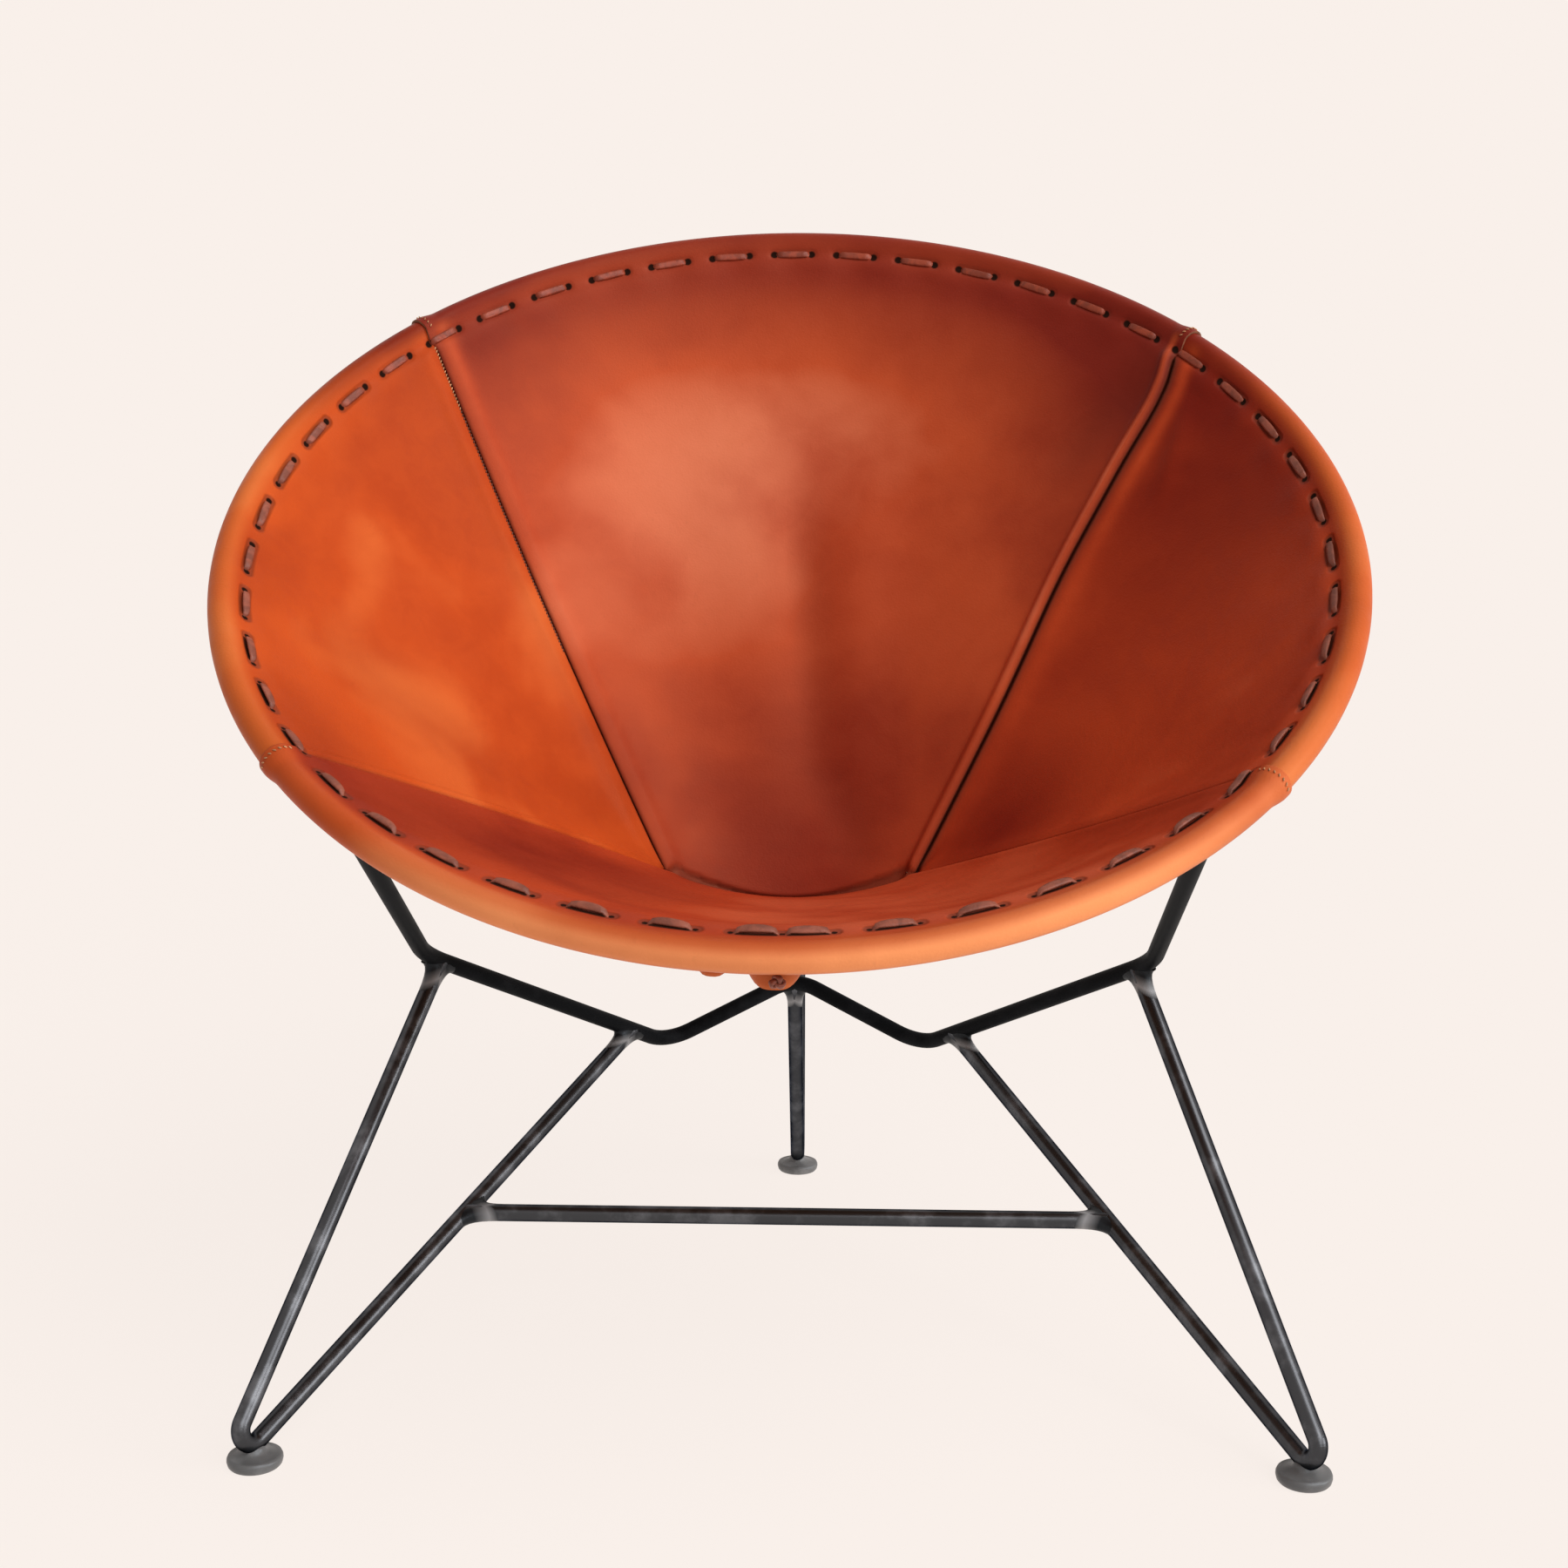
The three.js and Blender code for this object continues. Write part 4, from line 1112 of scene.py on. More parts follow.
def panel_grid(chair, values, panel):
    """Shares and section distances of a panel's grid, and each row's width."""
    sling = chair.sling
    turned = np.array([panel.start, panel.stop])
    chord = math.hypot(*np.diff(np.sin(turned)), *np.diff(np.cos(turned))) * values.hoop
    last = 1 - sling.gusset_tip / chord if panel.gusset else 1.0
    hem = np.linspace(-values.sleeve - values.hem + values.neck_along, -values.sleeve, HEM_ROWS + 1)
    sleeve = np.linspace(-values.sleeve, 0, SLEEVE_ROWS + 1)[1:]
    near = np.linspace(0, NEAR_BAND, NEAR_ROWS + 1)[1:]
    fixed = np.concatenate([hem, sleeve, near])
    downs = np.linspace(0, 1, POCKET_ROWS + 1)[1:]

    def sections(share):
        length = sling_place(values, panel, share, np.zeros_like(share))[2] * last
        stop = length - (0.0 if panel.gusset else ROLL_ROWS[0])
        rows = [np.full_like(share, w) for w in fixed]
        rows += [NEAR_BAND + (stop - NEAR_BAND) * d for d in downs]
        if not panel.gusset:
            rows += [length - g for g in ROLL_ROWS[1:]]
            rows += [length] * len(ROLL_DEPTHS)
        return np.stack(rows, axis=-1), length

    probe = np.linspace(0, 1, WIDTH_PROBES)
    rows, _ = sections(probe)
    points = sling_place(values, panel, probe[:, None].repeat(rows.shape[1], 1), rows)[0]
    widths = np.linalg.norm(np.diff(points, axis=0), axis=-1).sum(axis=0)

    roll = np.array([away for away, _ in ROLL])
    open_share = rising(rows.mean(axis=0), *SEAMS_OPEN)
    lap = sling.lap * (SHORT_LAP if panel.gusset else 1)
    lapped = np.concatenate([np.linspace(-lap, 0, ROLL_EDGE), roll[ROLL_EDGE:]])
    edge = lapped[:, None] * (1 - open_share) + roll[:, None] * open_share
    edge_shares = edge * np.minimum(1.0, widths / (NARROWEST * roll[-1])) / widths
    inner = int((panel.stop - panel.start) * values.hoop / COLUMN_STEP)
    inside = np.linspace(0, 1, inner + 1)[1:-1]
    first, final = edge_shares[-1], 1 - edge_shares[-1]
    middle = first + (final - first) * inside[:, None]
    shares = np.concatenate([edge_shares, middle, 1 - edge_shares[::-1]])
    section = np.stack([sections(column)[0][:, row] for row, column in enumerate(shares.T)], axis=1)
    length = sections(shares[:, 0])[1]
    return shares, section, widths, open_share, length


def edge_relief(panel, side, distance, widths, open_share, lap_height):
    """Height near one edge of a panel: a pillow beside the seam, a lap on the sleeve."""
    rise, place, width = WELTS[panel.name, side]
    height = rise * bell(distance - place, width) * np.minimum(1.0, widths / FULL_WELT) * open_share
    if not panel.gusset:
        height = height + lap_height * (1 - rising(distance, *LAP_RISE)) * (1 - open_share)
    return height


def fold_relief(panel, share, down, widths, length):
    """Height of the soft folds, each a long bell that fades out at its ends."""
    height = np.zeros_like(share)
    for name, begin, end, width, rise in FOLDS:
        if name != panel.name:
            continue
        x, y = (share - begin[0]) * widths, (down - begin[1]) * length
        dx, dy = (end[0] - begin[0]) * widths, (end[1] - begin[1]) * length
        along = (x * dx + y * dy) / (dx * dx + dy * dy)
        away = np.hypot(x - dx * along, y - dy * along)
        fade = np.exp(-np.abs((along - 0.5) / FOLD_REACH) ** 4)
        height = height + rise * fade * bell(away, width)
    return height


def patina(panel, share, down, angle, section, edges):
    """Tone of the leather from -1, deep, to 1, bright, mostly painted light and shade: lit and
    shaded patches, a partly burnished, partly shaded band beside the lace, painted highlights on
    the ridges by the seams, a lit front and a shaded back of the hoop.
    """
    tone = np.zeros_like(share)
    for name, middle, depth, wide, high, amount in PAINTED_PATCHES:
        if name == panel.name:
            tone = tone + amount * bell(share - middle, wide) * bell(down - depth, high)
    # The lit front is turned to the right, where the window's light comes from; the back of the
    # hoop lies in painted shade
    ahead, behind = facing_front(angle - 0.10, 0.62, 0.97), facing_back(angle, 0.1, 0.75)
    # A band beside the lace: partly burnished leather, partly painted shade of the neck's curve,
    # lighter at the lit front
    band = 0.14 * ahead - 0.12 * (1 - ahead) - 0.06 * behind
    tone = tone + band * bell(section - NEAR_BAND, 0.020)
    # Painted highlights on the ridges beside the seams
    for side, distance in edges.items():
        if (panel.name, side) in RIDGE_HIGHLIGHTS:
            place, width, amount = RIDGE_HIGHLIGHTS[panel.name, side]
            upper = 1 - rising(down, 0.35, 0.8)
            tone = tone + (amount - tone) * upper * bell(distance - place, width)
    # Painted light on the sleeve at the front of the hoop and painted shade on it at the back
    front = np.interp(section, *RIM_LIGHT)
    rim = front * ahead - behind
    return tone + (rim - tone) * (1 - rising(section, *RIM_BAND))


def cloud_relief(points):
    """Slow uneven swell of the leather, in metres."""
    swell = [sum(noise.noise(Vector(point) * scale) * rise for scale, rise in SWELL)
             for point in points.reshape(-1, 3)]
    return np.array(swell).reshape(points.shape[:-1])


def seam_normals(values, panel, neighbours, section, shares, normal, open_share):
    """Normals that two panels share where their edges roll into one seam."""
    normals = normal.copy()
    apart = (1 - open_share)[:, None]
    for edge, step, (other, other_share) in ((0, 1, neighbours[0]), (-1, -1, neighbours[1])):
        rim = np.full(section[edge].shape, other_share)
        mate = sling_axes(values, other, rim, section[edge])[1]
        seam = unit(normal[edge] + mate) * open_share[:, None]
        for k in range(edge, edge + step * ROLL_EDGE, step):
            normals[k] = unit(normal[k] * apart + seam)
    if not panel.gusset:
        mate = values.panels["back" if panel.name == "seat" else "seat"]
        share = 1 - shares[:, -1]
        length = sling_place(values, mate, share, np.zeros(len(share)))[2]
        facing = sling_axes(values, mate, share, length)[1]
        count = len(ROLL_DEPTHS)
        normals[:, -count:] = unit(normal[:, -1] + facing)[:, None]
    return normals


def edge_drop(panel, section, length, open_share):
    """How far the edges roll down into the seams and the crease."""
    drop = np.zeros_like(section)
    roll = np.array([height for _, height in ROLL])[:, None] * open_share
    drop[:len(ROLL)], drop[-len(ROLL):] = roll, roll[::-1]
    if not panel.gusset:
        count = len(ROLL_DEPTHS)
        drop[:, -count:] = np.minimum(drop[:, -count:], ROLL_DEPTHS)
        gap = np.clip(length[:, None] - section[:, :-count], 0, ROLL_SPAN)
        across = np.clip(ROLL_RADIUS - gap, 0, None)
        down = np.sqrt(ROLL_RADIUS ** 2 - across ** 2) - ROLL_RADIUS
        drop[:, :-count] = np.minimum(drop[:, :-count], down)
    return drop


def write_attribute(mesh, name, values, kind="FLOAT"):
    """Stores a value for each point of a mesh."""
    field = "vector" if kind == "FLOAT_VECTOR" else "value"
    mesh.attributes.new(name, kind, "POINT").data.foreach_set(field, np.ravel(values))


def panel_piece(chair, values, panel, neighbours, materials):
    """One leather panel, from its hem round the sleeve to its low end."""
    sling = chair.sling
    shares, section, widths, open_share, length = panel_grid(chair, values, panel)
    plain, angle, _ = sling_place(values, panel, shares, section)
    normal = sling_axes(values, panel, shares, section)[1]
    edges = {"low": shares * widths, "high": (1 - shares) * widths}
    down = np.clip(section, 0, None) / length[:, None]

    mark = sling.back_seam + values.turn
    (out, out_reach), (back, back_reach) = BOWS
    bow = sling.seam_bow * (bell(down - out, out_reach) - bell(down - back, back_reach))
    bow = bow * bell((angle - mark) * values.hoop, BOW_REACH) * rising(section, *BOW_RISE)
    swing = np.array([math.cos(mark), 0, 0]) + values.back * math.sin(mark)
    plain = plain + bow[..., None] * swing

    lap_height = LAP_SHARE * sling.leather
    height = relief(chair, values, angle, section)
    for side, distance in edges.items():
        height = height + edge_relief(panel, side, distance, widths, open_share, lap_height)
    within = rising(np.minimum(*edges.values()), *SWELL_SIDES) * rising(section, *SWELL_TOP)
    within = within * rising(length[:, None] - section, *SWELL_LOW)
    folds = fold_relief(panel, shares, down, widths, length[:, None])
    height = height + folds * rising(section, *FOLD_TOP)
    height = height + cloud_relief(plain) * within

    drop = edge_drop(panel, section, length, open_share)
    normals = seam_normals(values, panel, neighbours, section, shares, normal, open_share)
    points = plain + normals * (height + drop)[..., None]
    mesh, cells = grid_mesh(panel.name + "_leather", points)

    # Painted shade, which the fold attribute carries: in the folds, where the edges roll down, and
    # in the grooves beside the seams
    shade = sum(np.clip(-deep * rate, 0, most)
                for deep, (rate, most) in ((folds, FOLD_SHADE), (drop, DROP_SHADE)))
    for side, distance in edges.items():
        reach, strength = GROOVES.get((panel.name, side), (1.0, 0.0))
        shade = shade + strength * bell(np.clip(distance, 0, None), reach) * open_share
    place = (stitch_count(chair, angle), lace_distance(values, section), section)
    write_attribute(mesh, "sling_place", np.stack(place, axis=-1).reshape(-1, 3)[cells],
                    "FLOAT_VECTOR")
    fields = {
        "patina": patina(panel, shares, down, angle, section, edges),
        "facing": facing_front(angle, 0.0, 0.5) - facing_back(angle),
        "fold": np.clip(shade, 0, 1),
    }
    for name, field in fields.items():
        write_attribute(mesh, name, field.reshape(-1)[cells])

    node = PANEL_NODES[panel.name]
    piece = add_piece(node + "_leather", mesh, materials, [node])
    wall = piece.modifiers.new("Leather thickness", "SOLIDIFY")
    wall.thickness = sling.leather
    wall.offset = -1
    wall.use_rim = True
    wall.material_offset = 1
    wall.material_offset_rim = 2
    flat = (float(widths.max()), float(length.max() + values.sleeve + values.hem))
    steps = np.diff(section[len(section) // 2])
    area = float(np.sum((widths[1:] + widths[:-1]) / 2 * steps))
    area = min(max(area, 0.3 * flat[0] * flat[1]), flat[0] * flat[1])


# ---------------------------------------------------------------- lace

LACE_SEED = 11

# Section up to which a seam's lap lifts the lace, and by how much of the leather's thickness
LAP_REACH = 0.02
LACE_LAP = 0.6

# How square the thong's sides and faces are: 1 is round
THONG_SIDE = 0.55
THONG_FACE = 0.75

# Share of the thong's width where it goes through a hole, how far a stitch lies off the lace
# line, how far the two ends hang down, and where their knot hangs
PLUNGE_WIDTH = 0.62
STITCH_DRIFT = 0.0006
LACE_TAIL = 0.010
KNOT_DROP = 0.0165
KNOT_AHEAD = 0.006


def panel_at(values, angle):
    """The panel and share under an angle round the hoop."""
    bare = (angle - values.turn + math.pi) % (2 * math.pi) - math.pi
    for panel in values.panels.values():
        for shifted in (bare, bare + 2 * math.pi):
            if panel.start <= shifted <= panel.stop:
                return panel, (shifted - panel.start) / (panel.stop - panel.start)
    raise ValueError("no panel under this angle")


def lace_frame(chair, values, angle, section):
    """Point, leather height and normal at a place near the lace line."""
    panel, share = panel_at(values, angle)
    share, section = np.array([share]), np.array([section])
    point = sling_place(values, panel, share, section)[0]
    normal = sling_axes(values, panel, share, section)[1]
    height = relief(chair, values, np.array([angle]), section)
    if not panel.gusset and section[0] < LAP_REACH:
        span = (panel.stop - panel.start) * (values.hoop - section)
        lapped = 1 - rising(np.minimum(share, 1 - share) * span, *LAP_RISE)
        height = height + chair.sling.leather * lapped * LACE_LAP
    return point[0], float(height[0]), normal[0]


def strip_mesh(name, centres, wides, thicks, normals, tangents):
    """A closed flat thong along a route."""
    turns = np.linspace(0, 2 * math.pi, LACE_SIDES + 1)
    cosine, sine = np.cos(turns), np.sin(turns)
    flat_x = np.sign(cosine) * np.abs(cosine) ** THONG_SIDE
    flat_y = np.sign(sine) * np.abs(sine) ** THONG_FACE
    flat_x[-1], flat_y[-1] = flat_x[0], flat_y[0]
    aside = unit(np.cross(tangents, normals))
    above = unit(np.cross(aside, tangents))
    places = (centres[:, None] + aside[:, None] * (flat_x * wides[:, None] / 2)[..., None]
              + above[:, None] * (flat_y * thicks[:, None] / 2)[..., None])
    return grid_mesh(name, places, closed=True)[0]


def lace_piece(chair, values, material):
    """The thong in a running stitch round the hoop, each stitch a little different."""
    lace = chair.lace
    pitch = lace_pitch(chair)
    draw = np.random.default_rng(LACE_SEED)
    centres, normals, wides = [], [], []

    def add(angle, above, wide=PLUNGE_WIDTH, section=values.inset):
        point, _, normal = lace_frame(chair, values, angle, section)
        centres.append(point + normal * above)
        normals.append(normal)
        wides.append(wide * lace.width)

    below = values.hem_above - lace.thickness * 0.8
    for stitch in range(lace.stitches):
        rise = lace.start + stitch * pitch + lace.dive / values.hoop
        fall = lace.start + stitch * pitch + lace.dash - lace.dive / values.hoop
        ahead, behind = float(facing_front(rise, 0.0, 0.6)), float(facing_back(rise))
        arch = lace.arch * draw.uniform(0.6, 1.2) * (0.6 + 0.4 * ahead - 0.4 * behind)
        seat = lace.thickness * (0.55 - 0.15 * ahead - 0.25 * behind)
        drift = draw.uniform(-STITCH_DRIFT, STITCH_DRIFT, 2)
        lean = draw.uniform(0.35, 0.65)
        slim = PLUNGE_WIDTH - 0.27 * ahead + 0.20 * behind
        if stitch == 0:
            add(rise, below - LACE_TAIL)
        add(rise, below * 0.75)
        angles = np.linspace(rise, fall, DASH_STATIONS)
        levels = [lace_frame(chair, values, angle, values.inset)[1] for angle in angles]
        for k, angle in enumerate(angles):
            share = k / (DASH_STATIONS - 1)
            bow = 1 - abs((share - lean) / (lean if share < lean else 1 - lean)) ** 2.2
            resting = levels[0] + (levels[-1] - levels[0]) * share
            level = max(resting, levels[k]) + seat + arch * bow
            if k in (0, DASH_STATIONS - 1):
                level = levels[k] - lace.thickness * 0.35
            wide = slim + (1 - slim) * (4 * share * (1 - share)) ** 0.5
            add(angle, level, wide, values.inset + drift[0] + (drift[1] - drift[0]) * share)
        add(fall, below * 0.75)
        if stitch < lace.stitches - 1:
            for angle in np.linspace(fall, rise + pitch, UNDER_STATIONS)[1:-1]:
                add(angle, below)
        else:
            add(fall, below - LACE_TAIL)

    # The thong keeps its width across the hoop while it dives, and leans outwards at the front
    centres, normals = np.array(centres), np.array(normals)
    tangents = unit(np.gradient(centres, axis=0))
    spokes = HOOP_MIDDLE - centres
    spokes = unit(spokes - normals * np.sum(spokes * normals, axis=-1, keepdims=True))
    tilt = lace.tilt * rising(spokes @ values.back, 0.2, 0.9)[:, None]
    lifted = unit(np.cross(tangents, unit(spokes * np.cos(tilt) + normals * np.sin(tilt))))
    thicks = np.full(len(centres), lace.thickness)
    mesh = strip_mesh("lace_thong", centres, np.array(wides), thicks, -lifted, tangents)
    depth = [(Vector(HOOP_MIDDLE) - vert.co).dot(Vector(values.back)) / values.hoop
             for vert in mesh.vertices]
    write_attribute(mesh, "facing", depth)
    add_piece("lace_thong", mesh, [material], ["lace"])


def knot_piece(chair, values, material):
    """The overhand knot of the lace's two ends, hanging in the hem's tab."""
    lace, radius = chair.lace, chair.lace.knot_radius
    point, _, normal = lace_frame(chair, values, lace.start - math.radians(0.4), values.inset)
    aside, ahead, down = np.diag([1.0, -1.0, -1.0])
    centre = point + normal * (values.hem_above - KNOT_DROP) + ahead * KNOT_AHEAD
    turn = np.linspace(0, 2 * math.pi, KNOT_STATIONS)
    x = (np.sin(turn) + 2 * np.sin(2 * turn)) * radius / 3
    y = (np.cos(turn) - 2 * np.cos(2 * turn)) * radius / 3
    z = -np.sin(3 * turn) * radius / 2.6
    centres = centre + x[:, None] * aside + y[:, None] * down * 0.8 + z[:, None] * ahead
    tangents = unit(np.gradient(centres, axis=0))
    wides, thicks = (np.full(len(turn), size) for size in (lace.width * 0.72, lace.thickness))
    mesh = strip_mesh("lace_knot_thong", centres, wides, thicks, unit(centres - centre + 1e-9),
                      tangents)
    add_piece("lace_knot_thong", mesh, [material], ["lace_knot"])


# ---------------------------------------------------------------- sewing thread

THREAD_SLANT = math.radians(52)
NARROW_SPAN = 0.02
THREAD_PORE = 2500.0


def thread_mesh(chair, name, stitches):
    """Small sewing stitches; each is a point, a direction and a normal."""
    lace = chair.lace
    size = Matrix.Diagonal((lace.thread_length / 2, lace.thread_radius, lace.thread_radius, 1))
    bm = bmesh.new()
    for point, along, normal in stitches:
        turn = Matrix((along, np.cross(normal, along), normal)).transposed().to_4x4()
        place = Matrix.Translation(point) @ turn @ size
        bmesh.ops.create_uvsphere(bm, u_segments=STITCH_ROWS + 2, v_segments=STITCH_ROWS,
                                  radius=1.0, matrix=place)
    return mesh_from(name, bm)


def seam_stitches(chair, values, panel, share, aside, first, last, lift):
    """Stitches along a seam, `aside` metres into the panel, from one section to another."""
    inward = 1 if share == 0 else -1
    found = []
    for section in np.arange(first, last, chair.lace.thread_pitch):
        here = np.array([section])
        span = np.linalg.norm(sling_place(values, panel, np.array([1.0]), here)[0]
                              - sling_place(values, panel, np.array([0.0]), here)[0])
        place = np.array([share]) + inward * aside / max(span, NARROW_SPAN)
        point, angle, _ = sling_place(values, panel, place, here)
        across, normal = sling_axes(values, panel, place, here)
        onward = unit(sling_place(values, panel, place, here + SECTION_STEP)[0] - point)[0]
        along = unit(onward * math.cos(THREAD_SLANT) + across[0] * math.sin(THREAD_SLANT))
        level = relief(chair, values, angle, here)[0] + lift
        found.append((Vector(point[0] + normal[0] * level), Vector(along), Vector(normal[0])))
    return found


# ---------------------------------------------------------------- operators

# Glide: shares of its radius and of the edge's, the dome's and the whole height
BUTTON_EDGE = ((0.965, 0.28), (1.0, 0.72), (0.995, 1.0), (0.95, 1.32))
BUTTON_DOME = ((0.84, 0.32), (0.68, 0.52), (0.52, 0.70), (0.43, 0.92))
BUTTON_COLLAR = ((1.03, 1.12), (0.92, 1.28), (0.0, 1.30))

# Panels in their order round the hoop, with the share of the rim's tan that each shows
PANEL_RIMS = {"seat": 0.38, "right": 0.75, "back": 0.75, "left": 0.75}


class BuildOperator:
    """What every building step shares"""

    bl_options = {"REGISTER", "UNDO"}


class HOOPCHAIR_OT_stage(BuildOperator, bpy.types.Operator):
    """Adds the camera, the soft lights and the pale floor"""

    bl_idname = "hoopchair.stage"
    bl_label = "Stage"

    def execute(self, context):
        view, look = context.scene.hoop_chair.view, context.scene.hoop_chair.look
        lens = bpy.data.cameras.new("photo_camera")
        lens.sensor_width = 36
        lens.lens = view.lens
        lens.shift_x, lens.shift_y = view.shift
        camera = bpy.data.objects.new("photo_camera", lens)
        turn = (Matrix.Rotation(view.yaw, 4, "Z")
                @ Matrix.Rotation(math.pi / 2 - view.pitch, 4, "X")
                @ Matrix.Rotation(view.roll, 4, "Z"))
        camera.matrix_world = Matrix.Translation(Vector(HOOP_MIDDLE) + Vector(view.eye)) @ turn
        context.scene.collection.objects.link(camera)
        context.scene.camera = camera

        # Name, strength, side, and height and size in degrees
        suns = (("high_light", view.high, view.window_side, 58, 34),
                ("low_light", view.low, view.low_side, 18, 28),
                ("front_light", view.front, view.window_side / 2, 35, 40))
        on_floor = view.sky
        for name, strength, side, rise, size in suns:
            self.add_sun(name, strength, side, math.radians(rise), size)
            on_floor += strength * math.sin(math.radians(rise)) / math.pi
        self.add_world(context, view, look)
        self.add_floor(view, look, on_floor)
        context.scene.view_settings.view_transform = "Standard"
        return {"FINISHED"}

    @staticmethod
    def add_sun(name, strength, side, rise, size):
        sun = bpy.data.lights.new(name, "SUN")
        sun.energy = strength
        sun.angle = math.radians(size)
        flat = math.cos(rise)
        aim = Vector((flat * math.sin(side), -flat * math.cos(side), math.sin(rise)))
        lamp = bpy.data.objects.new(name, sun)
        lamp.rotation_euler = aim.to_track_quat("Z", "Y").to_euler()
        bpy.context.scene.collection.objects.link(lamp)

    @staticmethod
    def add_world(context, view, look):
        world = bpy.data.worlds.new("pale_room")
        context.scene.world = world
        tree, drain = start_tree(world, "ShaderNodeOutputWorld")
        backdrop = take(tree, "ShaderNodeBackground", {0: look.backdrop, 1: 1.0})
        even = take(tree, "ShaderNodeBackground", {0: WHITE, 1: view.sky})
        mixed = take(tree, "ShaderNodeMixShader", {0: plain_rays(tree), 1: even, 2: backdrop})
        feed(tree, drain, {"Surface": mixed})

    @staticmethod
    def add_floor(view, look, light):
        """A floor whose glow makes up for the light on it, so that it meets the backdrop unseen."""
        material = bpy.data.materials.new("pale_floor")
        tree, drain = start_tree(material, "ShaderNodeOutputMaterial")
        level = (1 - view.floor_share * light) / (1 - view.floor_share)
        glow = take(tree, "ShaderNodeEmission", {0: look.backdrop, 1: level})
        matt = take(tree, "ShaderNodeBsdfDiffuse", {0: look.backdrop})
        share = plain_rays(tree) * (1 - view.floor_share - view.bounce) + view.bounce
        mixed = take(tree, "ShaderNodeMixShader", {0: share, 1: matt, 2: glow})
        feed(tree, drain, {"Surface": mixed})
        bm = bmesh.new()
        bmesh.ops.create_grid(bm, x_segments=4, y_segments=4, size=FLOOR_HALF)
        mesh = mesh_from("floor", bm)
        mesh.materials.append(material)
        floor = bpy.data.objects.new("floor", mesh)
        bpy.context.scene.collection.objects.link(floor)


class HOOPCHAIR_OT_frame(BuildOperator, bpy.types.Operator):
    """Builds the bent bars of the cradle and the legs, and the welds between them"""

    bl_idname = "hoopchair.frame"
    bl_label = "Bar frame"

    def execute(self, context):
        chair = context.scene.hoop_chair
        sizes, look = chair.frame, chair.look
        places = frame_places(chair)
        steel = coated_steel("black_steel", look, look.leg, 0.30, 0.5, edge=look.leg_edge)
        # The cradle and hoop take a shaded copy of the coat, without its shine, so that they stay
        # dark as in the shade under the bowl; the legs keep theirs
        shaded_coat = coated_steel("shaded_steel", look, look.steel, 0.50, 0.015)
        weld = coated_steel("weld_steel", look, look.steel, 0.40, 0.12, 500.0, look.weld)
        radius, other = sizes.bar_radius, places.other

        def add_bar(name, corners, bends, steps, coat=steel):
            bm = bmesh.new()
            bar_between(bm, corners, bends, steps, radius)
            add_piece(name + "_bar", mesh_from(name, bm), [coat], [name])

        cradle = [other(places.post_top), other(places.knee), other(places.heel), places.crown,
                  places.heel, places.knee, places.post_top]
        knee, bend, hairpin = sizes.knee_radius, sizes.bend_radius, sizes.hairpin_radius
        add_bar("cradle_rod", cradle, [knee, bend, bend, bend, knee], BEND_STEPS, shaded_coat)

        corner = hairpin_corner(places.front_foot, places.outer, places.inner, hairpin)
        right = [places.outer, corner, places.inner]
        add_bar("front_leg_right", right, [hairpin], HAIRPIN_STEPS)
        add_bar("front_leg_left", [other(p) for p in right], [hairpin], HAIRPIN_STEPS)
        crown = crown_seat(places, sizes)
        rear_corner = hairpin_corner(places.rear_foot, crown, places.hoop_seat, hairpin)
        add_bar("rear_leg", [crown, rear_corner, places.hoop_seat], [hairpin], HAIRPIN_STEPS)

        half = (places.outer - corner).angle(places.inner - corner) / 2
        bend_end = corner + (places.inner - corner).normalized() * (hairpin / math.tan(half))
        cross_end = places.inner.lerp(bend_end, sizes.crossbar_seat)
        add_bar("crossbar", [other(cross_end), cross_end], [], 0)

        bm = bmesh.new()
        bm.verts.layers.float.new("pale_patch")
        rail = places.heel - places.knee
        spots = [
            (places.outer, rail, corner - places.outer),
            (places.inner, rail, corner - places.inner),
            (cross_end, places.inner - corner, other(cross_end) - cross_end),
        ]
        mirror = Vector((-1, 1, 1))
        for place, main, branch in spots:
            weld_round(bm, place, main, branch, sizes)
            weld_round(bm, other(place), main * mirror, branch * mirror, sizes)
        weld_round(bm, crown, Vector((1, 0, 0)), rear_corner - crown, sizes)
        add_piece("weld_fillets", mesh_from("weld_fillets", bm), [weld])

        ring = frame["nodes"]["hoop_ring"]
        ring.data.materials.clear()
        ring.data.materials.append(shaded_coat)
        return {"FINISHED"}


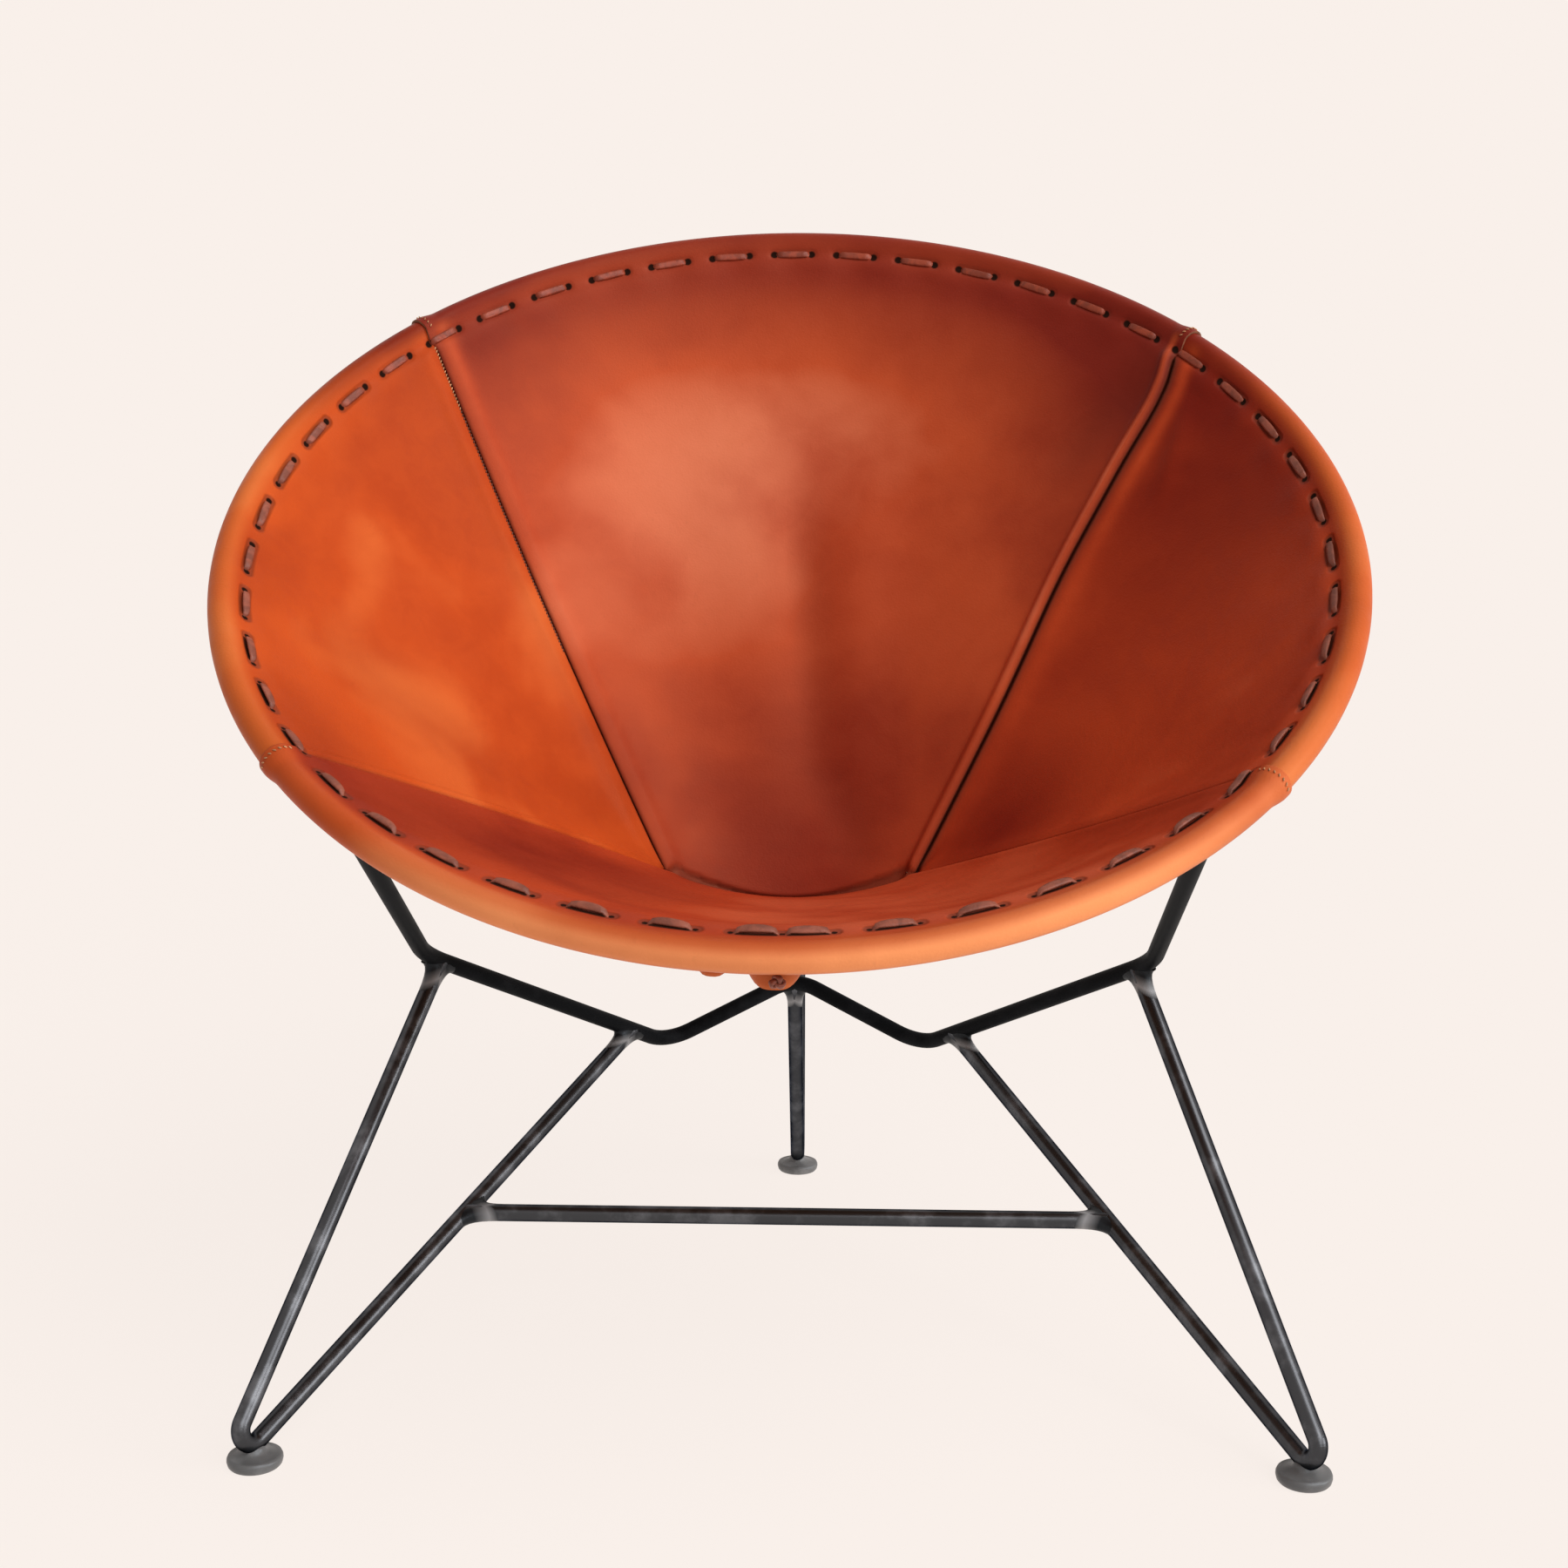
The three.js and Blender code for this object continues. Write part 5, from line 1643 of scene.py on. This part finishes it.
class HOOPCHAIR_OT_glides(BuildOperator, bpy.types.Operator):
    """Spins the three button glides"""

    bl_idname = "hoopchair.glides"
    bl_label = "Glides"

    def execute(self, context):
        chair = context.scene.hoop_chair
        places = frame_places(chair)
        finish = coated_steel("glide_steel", chair.look, chair.look.glide, 0.40, 0.25, 700.0)
        feet = {"glide_left": places.other(places.front_foot), "glide_right": places.front_foot,
                "glide_rear": places.rear_foot}
        for name, foot in feet.items():
            bm = bmesh.new()
            self.spin_button(bm, chair.glide, foot)
            add_piece(name + "_button", mesh_from(name, bm), [finish], [name])
        return {"FINISHED"}

    @staticmethod
    def spin_button(bm, glide, foot):
        """A button turned from its profile: base, rounded edge, dome and collar."""
        base, wide, edge, top = glide.base_radius, glide.radius, glide.edge_height, glide.height
        profile = [(0.0, 0.0), (base * 0.96, 0.0), (base, 0.0003)]
        profile += [(wide * across, edge * up) for across, up in BUTTON_EDGE]
        profile += [(wide * across, edge + (top - edge) * up) for across, up in BUTTON_DOME]
        profile += [(glide.collar_radius * across, top * up) for across, up in BUTTON_COLLAR]
        verts = [bm.verts.new((foot.x + across, foot.y, up)) for across, up in profile]
        edges = [bm.edges.new(pair) for pair in zip(verts, verts[1:])]
        bmesh.ops.spin(bm, geom=verts + edges, cent=(foot.x, foot.y, 0), axis=(0, 0, 1),
                       angle=2 * math.pi, steps=GLIDE_STEPS, use_merge=True, use_duplicate=False)
        bmesh.ops.remove_doubles(bm, verts=bm.verts, dist=2 * WELD_DISTANCE)


class HOOPCHAIR_OT_sling(BuildOperator, bpy.types.Operator):
    """Shapes the four leather panels with their sleeves, hems and seams"""

    bl_idname = "hoopchair.sling"
    bl_label = "Leather sling"

    def execute(self, context):
        chair = context.scene.hoop_chair
        look = chair.look
        values = sling_values(chair)
        flesh = plain_leather("flesh_side", look.flesh, 0.80, 0.0006, 300.0)
        cut = plain_leather("cut_edge", look.cut_edge, 0.65, 0.0003, 500.0)
        order = list(PANEL_RIMS)
        for i, (name, rim_share) in enumerate(PANEL_RIMS.items()):
            top = grain_side(name + "_leather", chair, getattr(look, name + "_tan"), rim_share)
            before, after = values.panels[order[i - 1]], values.panels[order[(i + 1) % 4]]
            panel_piece(chair, values, values.panels[name], ((before, 1.0), (after, 0.0)),
                        [top, flesh, cut])
        return {"FINISHED"}


class HOOPCHAIR_OT_lace(BuildOperator, bpy.types.Operator):
    """Runs the lace through its holes and ties its ends"""

    bl_idname = "hoopchair.lace"
    bl_label = "Lace"

    def execute(self, context):
        chair = context.scene.hoop_chair
        values = sling_values(chair)
        thong = plain_leather("lace_leather", chair.look.lace, 0.40, 0.0002, 900.0,
                              chair.look.shaded_rear_lace)
        lace_piece(chair, values, thong)
        knot_piece(chair, values, thong)
        return {"FINISHED"}


class HOOPCHAIR_OT_threads(BuildOperator, bpy.types.Operator):
    """Sews the machine stitches along the seams"""

    bl_idname = "hoopchair.threads"
    bl_label = "Seam threads"

    def execute(self, context):
        chair = context.scene.hoop_chair
        values = sling_values(chair)
        look, lap = chair.look, chair.sling.leather * 0.86
        pale = plain_leather("pale_thread", look.thread, 0.55, 0.0001, THREAD_PORE)
        # The pocket's thread is a shaded copy of the pale thread, darker where the seam runs into
        # the pocket
        dark = plain_leather("shaded_thread", look.shaded_thread, 0.6, 0.0001, THREAD_PORE)
        left = values.panels["left"]
        # Panel, seam, distance from it, first and last section, and height over the leather
        rim = [(values.panels[name], share, 0.0016, -values.sleeve * 0.42, 0.002, lap)
               for name in ("seat", "back") for share in (0.0, 1.0)]
        rim.append((left, 0.0, 0.0014, 0.018, 0.075, 0.0006))
        pocket = [(left, 0.0, 0.0014, 0.075, 0.300, 0.0005)]
        for name, runs, material in (("rim_threads", rim, pale), ("pocket_threads", pocket, dark)):
            stitches = [stitch for run in runs for stitch in seam_stitches(chair, values, *run)]
            add_piece(name, thread_mesh(chair, name, stitches), [material])
        return {"FINISHED"}


class HOOPCHAIR_PT_panel(bpy.types.Panel):
    """Lists the steps that build the chair"""

    bl_idname = "HOOPCHAIR_PT_panel"
    bl_label = "Hoop Chair"
    bl_space_type = "VIEW_3D"
    bl_region_type = "UI"
    bl_category = "Hoop Chair"

    def draw(self, context):
        for step in STEPS:
            self.layout.operator(step.bl_idname)
        chair = context.scene.hoop_chair
        for group in (chair.frame, chair.glide, chair.sling, chair.lace, chair.look, chair.view):
            box = self.layout.box()
            for name in group.bl_rna.properties.keys():
                if name not in ("rna_type", "name"):
                    box.prop(group, name)


GROUPS = (HoopChairFrame, HoopChairGlide, HoopChairSling, HoopChairLace, HoopChairLook,
          HoopChairView, HoopChair)
STEPS = (HOOPCHAIR_OT_stage, HOOPCHAIR_OT_frame, HOOPCHAIR_OT_glides, HOOPCHAIR_OT_sling,
         HOOPCHAIR_OT_lace, HOOPCHAIR_OT_threads)


def register():
    """Makes the classes known to Blender, and the settings part of the scene."""
    for group in GROUPS + STEPS + (HOOPCHAIR_PT_panel,):
        bpy.utils.register_class(group)
    bpy.types.Scene.hoop_chair = bpy.props.PointerProperty(type=HoopChair)


def unregister():
    """Takes the settings and the classes away again."""
    del bpy.types.Scene.hoop_chair
    for group in reversed(GROUPS + STEPS + (HOOPCHAIR_PT_panel,)):
        bpy.utils.unregister_class(group)


def main():
    """Builds the chair in its order."""
    register()
    bpy.ops.hoopchair.stage()
    bpy.ops.hoopchair.frame()
    bpy.ops.hoopchair.glides()
    bpy.ops.hoopchair.sling()
    bpy.ops.hoopchair.lace()
    bpy.ops.hoopchair.threads()
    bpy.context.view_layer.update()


if __name__ == "__main__":
    main()
